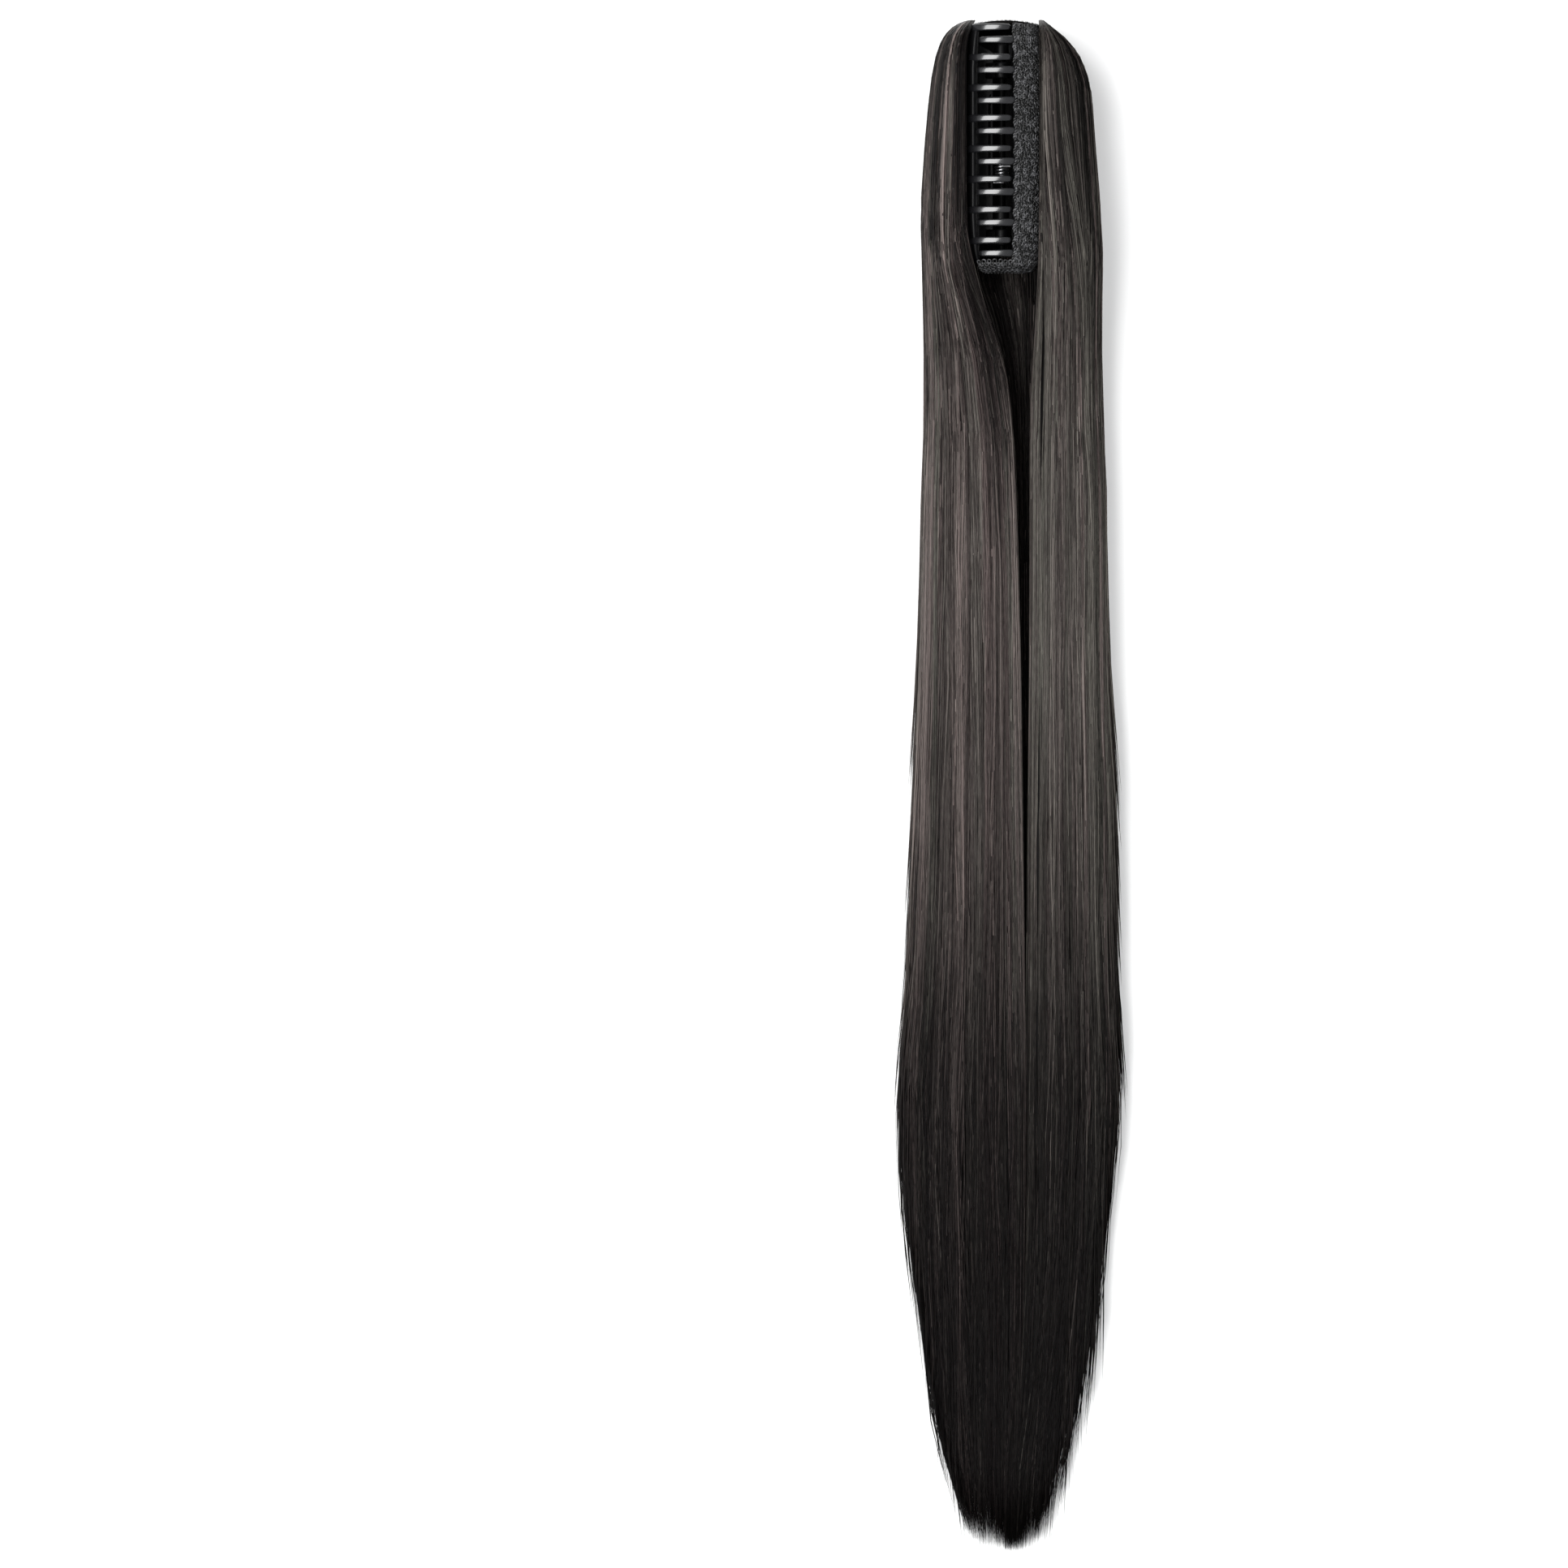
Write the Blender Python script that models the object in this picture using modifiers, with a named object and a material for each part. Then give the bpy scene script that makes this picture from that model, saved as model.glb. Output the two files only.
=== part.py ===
"""Claw-clip ponytail hairpiece, lying on a surface with its claw side up.

Metres, +Z up. +Y runs from the hair's tips to the end that holds the claw, and +X is to the right
for someone who looks down on it. The origin is on the surface, under the middle of the outline.
"""

import math
from collections import namedtuple

import bmesh
import bpy
import numpy as np
from mathutils import Matrix, Vector

# Whole object
GAP = 0.0003
END_Y = 0.3300
TIP_Y = -0.3300

# Claw: its axis is the hinge pin, parallel to Y
CLAW_X = -0.0037
PIN_Z = 0.0245
CLAW_TILT = math.radians(-11.2)
JAW_TOP_Y = 0.3274
JAW_LOW_Y = 0.2246
JAW_MID_Y = (JAW_TOP_Y + JAW_LOW_Y) / 2
JAW_RADIUS = 0.0220
JAW_CAMBER = 0.16
JAW_WALL = 0.0024
JAW_EDGE_ROUND = 0.0005
JAW_CORNER = 0.22

# Teeth: the two rows stand between each other
TEETH_EACH = 8
TOOTH_PITCH = 0.0131
TOOTH_STAGGER = 0.00555
FIRST_TOOTH_Y = 0.3254
TOOTH_WIDTH = 0.0034
TOOTH_ROOT_TURN = 24.0
TOOTH_TIP_TURN = -22.0
TOOTH_STEPS = 5

# Hinge and levers
PIN_RADIUS = 0.0015
PIN_HOLE_RADIUS = 0.0018
KNUCKLE_RADIUS = 0.0034
KNUCKLE_WIDTH = 0.0070
KNUCKLE_NEAR = 0.0320
KNUCKLE_FAR = 0.0400
WEB_START = 0.0026
WEB_END = 0.0072
LEVER_WIDTH = 0.0440
PIN_END_MARGIN = 0.0030

# Torsion spring
SPRING_Y = 0.2630
SPRING_WIRE = 0.00055
SPRING_RADIUS = 0.0027
SPRING_TURNS = 5
SPRING_PITCH = 0.0014
SPRING_LEG = 0.0040
SPRING_SIDES = 8

# Net
NET_CLEARANCE = 0.0005
NET_WALL = 0.0013
NET_TOP_Y = 0.3268
NET_INNER_TURN = 25.5
NET_OUTER_TURN = 70.0
NET_SCALLOP = 1.5
NET_HOOD_Y = 0.2242
NET_HOOD_DEPTH = 0.0034
NET_HOOD_TURN = -23.0
NET_HOOD_CLOSING = 0.0105

# Hollow that the jaws swing in
HOLLOW_LOW_Y = 0.2140
HOLLOW_TOP_Y = 0.3277
HOLLOW_ROUND = 0.0080
HOLLOW_SIDES = 48
HOLLOW_LEFT_ROOM = 0.0006
HOLLOW_RIGHT_ROOM = 0.0021

# Hair
LAYER_INSET = 0.0015
LAYER_GAP = 0.0004
RIDGES = 7
RIDGE_DEPTH = 0.0009
LAYER_RIDGES = 11
LAYER_RIDGE_DEPTH = 0.0005
TURN_UP_Y = 0.3150
TURN_UP = 0.0040
FLAP_WIDTH = 0.0260
FLAP_LOW_Z = 0.0040
FLAP_TOP_Z = 0.0300
FLAP_WALL = 0.0022
THINNING_Y = -0.1700
THINNING = 0.0580
TIP_LOCKS = 5
TIP_LOCK_LENGTH = 0.1000
TIP_LOCK_WIDTH = 0.0095
TIP_LOCK_STEPS = 7
TIP_LOCK_SIDES = 8
TIP_LOCK_DEPTH = 0.0032
LAYER_TIP_DEPTH = 0.0018
LAYER_TIPS = 4
TIP_SPREAD = 0.97
TIP_CLOSING = 1.30
ROOT_SPREAD = 0.82
FIRST_SIDE_TIP_Y = -0.1950
LAST_SIDE_TIP_Y = -0.3250
FIRST_LAYER_TIP_Y = -0.2800

# A row for each cross-section of the hair, from the claw's end to the tips.
# left and right are the outline, in_left and in_right the two sides of the parting, crest is the top
# of the side locks, and layer the top of the smooth layer that they lie on.
Row = namedtuple("Row", "y left right in_left in_right crest layer")
HAIR_ROWS = (
    Row(0.3297, -0.0182, 0.0135, -0.0150, 0.0122, 0.0345, 0.0135),
    Row(0.3268, -0.0242, 0.0170, -0.0165, 0.0122, 0.0395, 0.0085),
    Row(0.3205, -0.0291, 0.0242, -0.0190, 0.0122, 0.0435, 0.0062),
    Row(0.3120, -0.0319, 0.0301, -0.0196, 0.0122, 0.0455, 0.0056),
    Row(0.2990, -0.0340, 0.0340, -0.0196, 0.0122, 0.0465, 0.0056),
    Row(0.2710, -0.0365, 0.0361, -0.0196, 0.0122, 0.0470, 0.0056),
    Row(0.2430, -0.0379, 0.0383, -0.0196, 0.0122, 0.0465, 0.0056),
    Row(0.2240, -0.0372, 0.0390, -0.0185, 0.0120, 0.0440, 0.0058),
    Row(0.2000, -0.0365, 0.0386, -0.0095, 0.0112, 0.0375, 0.0062),
    Row(0.1750, -0.0356, 0.0383, -0.0024, 0.0100, 0.0315, 0.0065),
    Row(0.1300, -0.0372, 0.0407, 0.0012, 0.0097, 0.0270, 0.0068),
    Row(0.0600, -0.0386, 0.0414, 0.0032, 0.0096, 0.0245, 0.0068),
    Row(-0.0110, -0.0407, 0.0439, 0.0042, 0.0090, 0.0220, 0.0066),
    Row(-0.0810, -0.0425, 0.0442, 0.0052, 0.0084, 0.0190, 0.0060),
    Row(-0.1380, -0.0464, 0.0464, 0.0060, 0.0080, 0.0160, 0.0054),
    Row(-0.1800, -0.0446, 0.0414, 0.0060, 0.0076, 0.0130, 0.0046),
    Row(-0.2225, -0.0379, 0.0372, 0.0050, 0.0064, 0.0100, 0.0038),
    Row(-0.2650, -0.0316, 0.0270, 0.0026, 0.0040, 0.0075, 0.0030),
    Row(-0.2930, -0.0256, 0.0185, 0.0000, 0.0014, 0.0057, 0.0024),
    Row(-0.3150, -0.0160, 0.0110, -0.0022, -0.0008, 0.0042, 0.0018),
)

# A jaw's outer surface from the roots of its teeth to the hinge: turn is the angle from the claw's
# middle, in degrees, and reach the distance from the pin.
Bend = namedtuple("Bend", "turn reach")
JAW_BENDS = (
    Bend(TOOTH_ROOT_TURN, JAW_RADIUS),
    Bend(34.0, JAW_RADIUS),
    Bend(46.0, JAW_RADIUS),
    Bend(60.0, 0.0213),
    Bend(74.0, 0.0192),
    Bend(86.0, 0.0155),
    Bend(95.0, 0.0108),
    Bend(105.0, 0.0056),
)
LEVER_BENDS = (
    Bend(103.0, 0.0052),
    Bend(122.0, 0.0076),
    Bend(129.0, 0.0115),
    Bend(133.0, 0.0165),
)


def clear_scene():
    """Remove every object, so that the model starts from an empty scene."""
    for leftover in list(bpy.data.objects):
        bpy.data.objects.remove(leftover, do_unlink=True)


def new_collection(name, hidden):
    """A collection in the scene. A hidden one holds cutters and fused pieces."""
    collection = bpy.data.collections.new(name)
    collection.hide_render = hidden
    bpy.context.scene.collection.children.link(collection)
    return collection


def material(name, colour, roughness, metallic=0.0):
    """A Principled material with one colour."""
    made = bpy.data.materials.new(name)
    made.use_nodes = True
    shader = made.node_tree.nodes["Principled BSDF"]
    shader.inputs["Base Color"].default_value = (*colour, 1.0)
    shader.inputs["Roughness"].default_value = roughness
    shader.inputs["Metallic"].default_value = metallic
    return made


def add_object(name, data, collection, finish=None):
    """Link a mesh or curve as an object, with its material."""
    made = bpy.data.objects.new(name, data)
    collection.objects.link(made)
    if finish:
        data.materials.append(finish)
    if collection.hide_render:
        made.hide_render = True
        made.display_type = "WIRE"
    return made


def mesh_from(bm, name, outward=True):
    """Turn a bmesh into a mesh. A closed one has its faces turned outward."""
    if outward:
        bmesh.ops.recalc_face_normals(bm, faces=bm.faces)
    mesh = bpy.data.meshes.new(name)
    bm.to_mesh(mesh)
    bm.free()
    mesh.shade_smooth()
    mesh.set_sharp_from_angle(angle=math.radians(40))
    return mesh


def solidify(target, thickness, offset):
    """Give an open surface a wall. Offset -1 is behind the faces and 1 is in front of them."""
    wall = target.modifiers.new("wall", "SOLIDIFY")
    wall.thickness = thickness
    wall.offset = offset
    wall.use_even_offset = True


def bevel(target, width, segments, angle):
    """Round the edges that are sharper than the angle."""
    rounding = target.modifiers.new("rounding", "BEVEL")
    rounding.width = width
    rounding.segments = segments
    rounding.limit_method = "ANGLE"
    rounding.angle_limit = math.radians(angle)


def fuse(target, pieces, helpers):
    """Fuse all the pieces to the target in one Boolean."""
    group = bpy.data.collections.new(target.name + "_fused")
    group.hide_render = True
    helpers.children.link(group)
    for piece in pieces:
        group.objects.link(piece)
    union = target.modifiers.new("union", "BOOLEAN")
    union.operation = "UNION"
    union.solver = "EXACT"
    union.operand_type = "COLLECTION"
    union.collection = group


def cut(target, cutter):
    """Cut one object out of the target."""
    difference = target.modifiers.new("difference", "BOOLEAN")
    difference.operation = "DIFFERENCE"
    difference.solver = "EXACT"
    difference.object = cutter


def loft(name, sections):
    """A closed mesh through rings of equally many points, with a flat cap on each end."""
    bm = bmesh.new()
    rings = [[bm.verts.new(point) for point in ring] for ring in sections]
    for low, high in zip(rings, rings[1:]):
        for k in range(len(low)):
            after = (k + 1) % len(low)
            bm.faces.new((low[k], low[after], high[after], high[k]))
    bm.faces.new(rings[0])
    bm.faces.new(rings[-1])
    return mesh_from(bm, name)


def sheet(name, rows):
    """An open surface through rows of equally many points."""
    bm = bmesh.new()
    lines = [[bm.verts.new(point) for point in row] for row in rows]
    for low, high in zip(lines, lines[1:]):
        for k in range(len(low) - 1):
            bm.faces.new((low[k], low[k + 1], high[k + 1], high[k]))
    return mesh_from(bm, name, outward=False)


def cylinder(name, collection, radius, low_y, high_y, sides):
    """A cylinder parallel to Y on the hinge pin's axis, in the claw's own axes."""
    bm = bmesh.new()
    bmesh.ops.create_cone(
        bm,
        cap_ends=True,
        segments=sides,
        radius1=radius,
        radius2=radius,
        depth=high_y - low_y,
    )
    made = add_object(name, mesh_from(bm, name), collection)
    made.data.transform(turned_to_y((low_y + high_y) / 2))
    return made


def turned_to_y(middle_y):
    """A matrix that lays a shape made along Z down along Y, with its middle at middle_y."""
    return Matrix.Translation((0, middle_y, 0)) @ Matrix.Rotation(-math.pi / 2, 4, "X")


# Hair


def thinned(y):
    """How far a body of hair stops short of the outline, where only its tips reach on."""
    return max(0.0, THINNING_Y - y) * THINNING


def lock_section(row, inner, outer, base):
    """One ring of a side lock: an upright side at the parting, then a round back to the outside.

    The back is half a superellipse from the crest over to the base, ridged like combed strands.
    """
    width = outer - inner
    width -= math.copysign(thinned(row.y), width)
    middle = base + 0.42 * (row.crest - base)
    roll = min(abs(width) * 0.16, (row.crest - base) * 0.30, 0.0022)
    across = math.copysign(roll, width)
    ring = []
    for u in np.linspace(0.0, 1.0, 27):
        turn = math.pi / 2 - math.pi * u
        reach = abs(math.cos(turn)) ** 0.85
        rise = math.copysign(abs(math.sin(turn)) ** 0.85, turn)
        height = row.crest - middle if turn > 0 else middle - base
        fade = math.sin(math.pi * min(u * 1.25, 1.0))
        ridge = RIDGE_DEPTH * fade * (0.5 - 0.5 * math.cos(2 * math.pi * RIDGES * u))
        x = inner + across + (width - across) * reach * (1 - ridge / abs(width))
        z = middle + (height - ridge * height / (row.crest - base)) * rise
        ring.append((x, row.y, z))
    ring.append((inner + across * 0.3, row.y, base + roll * 0.3))
    ring.append((inner, row.y, base + roll))
    ring.append((inner, row.y, row.crest - roll))
    ring.append((inner + across * 0.3, row.y, row.crest - roll * 0.3))
    return ring


def layer_section(row):
    """One ring of the smooth layer: flat where it rests, ridged above, with thin round sides."""
    left = row.left + LAYER_INSET + thinned(row.y)
    right = row.right - LAYER_INSET - thinned(row.y)
    low = TURN_UP * max(0.0, (row.y - TURN_UP_Y) / (END_Y - TURN_UP_Y)) ** 2
    half = (right - left) / 2
    middle = (left + right) / 2
    ring = []
    for u in np.linspace(0.0, 1.0, 35):
        turn = math.pi * u
        ridge = LAYER_RIDGE_DEPTH * (0.5 - 0.5 * math.cos(2 * math.pi * LAYER_RIDGES * u))
        crown = math.sin(turn) ** 0.35
        height = (row.layer - low) * 0.92 - min(ridge, (row.layer - low) * 0.2)
        x = middle + half * math.cos(turn)
        ring.append((x, row.y, low + (row.layer - low) * 0.08 + height * crown))
    ring.append((left + 0.0012, row.y, low))
    ring.append((right - 0.0012, row.y, low))
    return ring


def outline_at(y, column):
    """A column of the hair rows, read between the rows at y."""
    ys = [row.y for row in reversed(HAIR_ROWS)]
    values = [getattr(row, column) for row in reversed(HAIR_ROWS)]
    return float(np.interp(y, ys, values))


def tip_lock(name, collection, root, tip, thickness):
    """A tapered strip from a point inside a lock of hair to its own pointed tip."""
    sections = []
    for t in np.linspace(0.0, 1.0, TIP_LOCK_STEPS):
        centre = Vector(root).lerp(Vector(tip), t)
        half = 0.5 * TIP_LOCK_WIDTH * max(1 - t, 0.03) ** 0.6
        thick = 0.5 * thickness * max(1 - t, 0.08) ** 0.5
        ring = []
        for k in range(TIP_LOCK_SIDES):
            turn = math.tau * (k + 0.5) / TIP_LOCK_SIDES
            x = centre.x + half * math.cos(turn)
            ring.append((x, centre.y, centre.z + thick * math.sin(turn)))
        sections.append(ring)
    return add_object(name, loft(name, sections), collection)


def tips_along(side, first_y, last_y, count):
    """Roots and tips of the strips that end a lock, spread along one edge of the outline.

    side is the outline's column. The strips lean in towards the hairpiece's tip, and the last one
    reaches last_y.
    """
    pairs = []
    for k in range(count):
        share = (k + 1) / count
        tip_y = first_y + (last_y - first_y) * share
        root_y = tip_y + TIP_LOCK_LENGTH * (1 - 0.3 * share)
        edge = outline_at(max(tip_y, HAIR_ROWS[-1].y), side)
        root_edge = outline_at(root_y, side)
        middle = outline_at(tip_y, "in_" + side)
        tip_x = middle + (edge - middle) * (TIP_SPREAD - TIP_CLOSING * max(share - 0.45, 0.0))
        root_x = middle + (root_edge - middle) * (ROOT_SPREAD - 0.5 * share)
        pairs.append(((root_x, root_y), (tip_x, tip_y)))
    return pairs


def claw_hollow(name, room, helpers):
    """The space that the jaws swing in: a turned shape that follows the claw's arched back."""
    corner = HOLLOW_LOW_Y + HOLLOW_ROUND
    profile = [(0.0, HOLLOW_TOP_Y)]
    for y in np.linspace(HOLLOW_TOP_Y, JAW_LOW_Y, 11):
        profile.append((JAW_RADIUS - camber(y) + room, y))
    radius = profile[-1][0]
    for turn in np.linspace(0.0, math.pi / 2, 5):
        reach = radius - HOLLOW_ROUND + HOLLOW_ROUND * math.cos(turn)
        profile.append((reach, corner - HOLLOW_ROUND * math.sin(turn)))
    profile.append((0.0, HOLLOW_LOW_Y))
    bm = bmesh.new()
    points = [bm.verts.new((x, y, 0.0)) for x, y in profile]
    for start, end in zip(points, points[1:]):
        bm.edges.new((start, end))
    hollow = add_object(name, mesh_from(bm, name, outward=False), helpers)
    turned = hollow.modifiers.new("turned", "SCREW")
    turned.axis = "Y"
    turned.steps = HOLLOW_SIDES
    turned.render_steps = HOLLOW_SIDES
    turned.use_merge_vertices = True
    turned.merge_threshold = 0.000001
    hollow.location = (CLAW_X, 0, PIN_Z)
    return hollow


def side_lock(name, side, collection, helpers, finish):
    """A side lock: a ridged lofted body, hollowed for the claw, with strips fused on as tips."""
    inner_column = "in_" + side
    rows = HAIR_ROWS[:-1] if side == "left" else HAIR_ROWS[1:-1]
    sections = [
        lock_section(
            row,
            getattr(row, inner_column),
            getattr(row, side),
            row.layer + LAYER_GAP,
        )
        for row in rows
    ]
    lock = add_object(name, loft(name, sections), collection, finish)
    strips = []
    ends = tips_along(side, FIRST_SIDE_TIP_Y, LAST_SIDE_TIP_Y, TIP_LOCKS)
    for k, (root, tip) in enumerate(ends):
        root_base = outline_at(root[1], "layer") + LAYER_GAP
        tip_base = outline_at(tip[1], "layer") + LAYER_GAP
        root_z = root_base + 0.30 * (outline_at(root[1], "crest") - root_base)
        strip = tip_lock(
            f"{name}_tip_{k}",
            helpers,
            (*root, max(root_z, root_base + TIP_LOCK_DEPTH / 2)),
            (*tip, tip_base + TIP_LOCK_DEPTH * 0.4),
            TIP_LOCK_DEPTH,
        )
        strips.append(strip)
    fuse(lock, strips, helpers)
    room = HOLLOW_LEFT_ROOM if side == "left" else HOLLOW_RIGHT_ROOM
    cut(lock, claw_hollow(name + "_hollow", room, helpers))
    return lock


def front_layer(name, collection, helpers, finish):
    """The smooth layer under both side locks, turned up round the claw's end."""
    sections = [layer_section(row) for row in HAIR_ROWS]
    layer = add_object(name, loft(name, sections), collection, finish)
    bm = bmesh.new()
    bmesh.ops.create_cone(
        bm, cap_ends=True, segments=28, radius1=1.0, radius2=1.0, depth=FLAP_WALL
    )
    flap = add_object(name + "_flap", mesh_from(bm, name), helpers)
    flap.data.transform(turned_to_y(END_Y - FLAP_WALL / 2))
    for vertex in flap.data.vertices:
        vertex.co.x *= FLAP_WIDTH / 2
        vertex.co.z *= (FLAP_TOP_Z - FLAP_LOW_Z) / 2
    flap.location = (
        (outline_at(END_Y, "in_left") + outline_at(END_Y, "in_right")) / 2,
        0,
        (FLAP_TOP_Z + FLAP_LOW_Z) / 2,
    )
    bevel(flap, 0.0007, 2, 50)
    fused = [flap]
    ends = []
    for side in ("left", "right"):
        ends += tips_along(side, FIRST_LAYER_TIP_Y, TIP_Y, LAYER_TIPS)
    for k, (root, tip) in enumerate(ends):
        strip = tip_lock(
            f"{name}_tip_{k}",
            helpers,
            (*root, LAYER_TIP_DEPTH / 2),
            (*tip, LAYER_TIP_DEPTH / 2),
            LAYER_TIP_DEPTH,
        )
        fused.append(strip)
    fuse(layer, fused, helpers)
    return layer


# Claw


def camber(y):
    """How far the claw's reach falls short at y: its back is arched, and lowest at both ends."""
    along = (y - JAW_MID_Y) / (JAW_TOP_Y - JAW_MID_Y)
    return JAW_RADIUS * JAW_CAMBER * min(abs(along), 1.0) ** 4


def jaw_reach(turn):
    """The reach of a jaw's back at a turn, read between its bends."""
    turns = [bend.turn for bend in JAW_BENDS]
    return float(np.interp(turn, turns, [bend.reach for bend in JAW_BENDS]))


def on_jaw(side, turn, reach, y):
    """A point of a jaw in the claw's own axes: turn degrees from the top, reach from the pin."""
    angle = math.radians(turn)
    reach -= camber(y) * min(reach / JAW_RADIUS, 1.0)
    return (side * reach * math.sin(angle), y, reach * math.cos(angle))


def tooth_places(side):
    """The middles of one jaw's teeth along Y. The right row stands between the left row's."""
    first = FIRST_TOOTH_Y - (TOOTH_STAGGER if side > 0 else 0.0)
    return [first - TOOTH_PITCH * k for k in range(TEETH_EACH)]


def jaw_shell(name, side):
    """A jaw's outer surface: a curved back with rounded lower corners, and a comb of teeth."""
    teeth = sorted(tooth_places(side))
    columns = [JAW_LOW_Y]
    for middle in teeth:
        columns += [middle - TOOTH_WIDTH / 2, middle + TOOTH_WIDTH / 2]
    if JAW_TOP_Y - columns[-1] > GAP * 2:
        columns.append(JAW_TOP_Y)
    bm = bmesh.new()
    lines = []
    for bend in JAW_BENDS:
        shrink = 1.0 - JAW_CORNER * max(0.0, (bend.turn - JAW_BENDS[0].turn) / 80.0) ** 2
        line = []
        for y in columns:
            place = JAW_MID_Y + (y - JAW_MID_Y) * shrink
            line.append(bm.verts.new(on_jaw(side, bend.turn, bend.reach, place)))
        lines.append(line)
    for low, high in zip(lines, lines[1:]):
        for k in range(len(columns) - 1):
            face = (low[k], high[k], high[k + 1], low[k + 1])
            bm.faces.new(face if side > 0 else face[::-1])
    turns = np.linspace(TOOTH_ROOT_TURN, TOOTH_TIP_TURN, TOOTH_STEPS + 1)[1:]
    for middle in teeth:
        k = columns.index(middle - TOOTH_WIDTH / 2)
        before = (lines[0][k], lines[0][k + 1])
        for step, turn in enumerate(turns, start=1):
            share = step / TOOTH_STEPS
            half = TOOTH_WIDTH / 2 * (1.0 - 0.22 * share - 0.28 * share**6)
            pair = (
                bm.verts.new(on_jaw(side, turn, JAW_RADIUS, middle - half)),
                bm.verts.new(on_jaw(side, turn, JAW_RADIUS, middle + half)),
            )
            face = (pair[0], before[0], before[1], pair[1])
            bm.faces.new(face if side > 0 else face[::-1])
            before = pair
    return mesh_from(bm, name, outward=False)


def jaw_lever(name, side, helpers):
    """A finger lever: a plate from the hinge outwards, with its free corners drawn in."""
    rows = []
    for bend, narrow in zip(LEVER_BENDS, (1.0, 1.0, 0.97, 0.82)):
        half = LEVER_WIDTH / 2 * narrow
        ys = np.linspace(JAW_MID_Y - half, JAW_MID_Y + half, 5)
        row = [on_jaw(side, bend.turn, bend.reach, y) for y in ys]
        rows.append(row if side > 0 else row[::-1])
    lever = add_object(name, sheet(name, rows), helpers)
    solidify(lever, JAW_WALL, 0.0)
    return lever


def jaw_web(name, side, middle_y, helpers):
    """The rib that joins a knuckle to the lower edge of its jaw's back."""
    bm = bmesh.new()
    bmesh.ops.create_cube(bm, size=1.0)
    web = add_object(name, mesh_from(bm, name), helpers)
    turn = side * math.radians(JAW_BENDS[-1].turn)
    length = WEB_END - WEB_START
    for vertex in web.data.vertices:
        along = WEB_START + length * (vertex.co.z + 0.5)
        across = vertex.co.x * JAW_WALL
        y = middle_y + vertex.co.y * KNUCKLE_WIDTH
        vertex.co = (
            along * math.sin(turn) + across * math.cos(turn),
            y,
            along * math.cos(turn) - across * math.sin(turn),
        )
    return web


def claw_jaw(name, side, collection, helpers, finish):
    """One jaw, its origin on the hinge axis: shell with teeth, lever, and two knuckles."""
    jaw = add_object(name, jaw_shell(name, side), collection, finish)
    solidify(jaw, JAW_WALL, -1.0)
    bevel(jaw, JAW_EDGE_ROUND, 1, 50)
    fused = [jaw_lever(name + "_lever", side, helpers)]
    for k, offset in enumerate((-side * KNUCKLE_NEAR, side * KNUCKLE_FAR)):
        middle = JAW_MID_Y + offset
        fused.append(jaw_web(f"{name}_web_{k}", side, middle, helpers))
        fused.append(
            cylinder(
                f"{name}_knuckle_{k}",
                helpers,
                KNUCKLE_RADIUS,
                middle - KNUCKLE_WIDTH / 2,
                middle + KNUCKLE_WIDTH / 2,
                16,
            )
        )
    fuse(jaw, fused, helpers)
    hole = cylinder(name + "_hole", helpers, PIN_HOLE_RADIUS, 0.200, 0.350, 14)
    cut(jaw, hole)
    for piece in (jaw, hole, *fused):
        piece.location = (CLAW_X, 0, PIN_Z)
        piece.rotation_euler = (0, CLAW_TILT, 0)
    return jaw


def hinge_pin(name, collection, finish):
    """The plain pin that both jaws turn on."""
    pin = cylinder(
        name,
        collection,
        PIN_RADIUS,
        JAW_MID_Y - KNUCKLE_FAR - KNUCKLE_WIDTH / 2 - PIN_END_MARGIN,
        JAW_MID_Y + KNUCKLE_FAR + KNUCKLE_WIDTH / 2 + PIN_END_MARGIN,
        14,
    )
    pin.data.materials.append(finish)
    pin.location = (CLAW_X, 0, PIN_Z)
    return pin


def claw_spring(name, collection, finish):
    """A torsion spring on the pin, as one bevelled wire with a short leg on each end."""
    steps = SPRING_TURNS * SPRING_SIDES
    length = SPRING_TURNS * SPRING_PITCH
    points = []
    for k in range(steps + 1):
        turn = math.tau * k / SPRING_SIDES
        y = SPRING_Y - length / 2 + length * k / steps
        points.append((SPRING_RADIUS * math.sin(turn), y, SPRING_RADIUS * math.cos(turn)))
    first = (points[0][0] - SPRING_LEG, points[0][1], points[0][2])
    last = (points[-1][0] + SPRING_LEG, points[-1][1], points[-1][2])
    curve = bpy.data.curves.new(name, "CURVE")
    curve.dimensions = "3D"
    curve.bevel_depth = SPRING_WIRE
    curve.bevel_resolution = 1
    curve.use_fill_caps = True
    path = curve.splines.new("POLY")
    points = [first, *points, last]
    path.points.add(len(points) - 1)
    for target, place in zip(path.points, points):
        target.co = (*place, 1.0)
    spring = add_object(name, curve, collection, finish)
    spring.location = (CLAW_X, 0, PIN_Z)
    return spring


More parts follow.
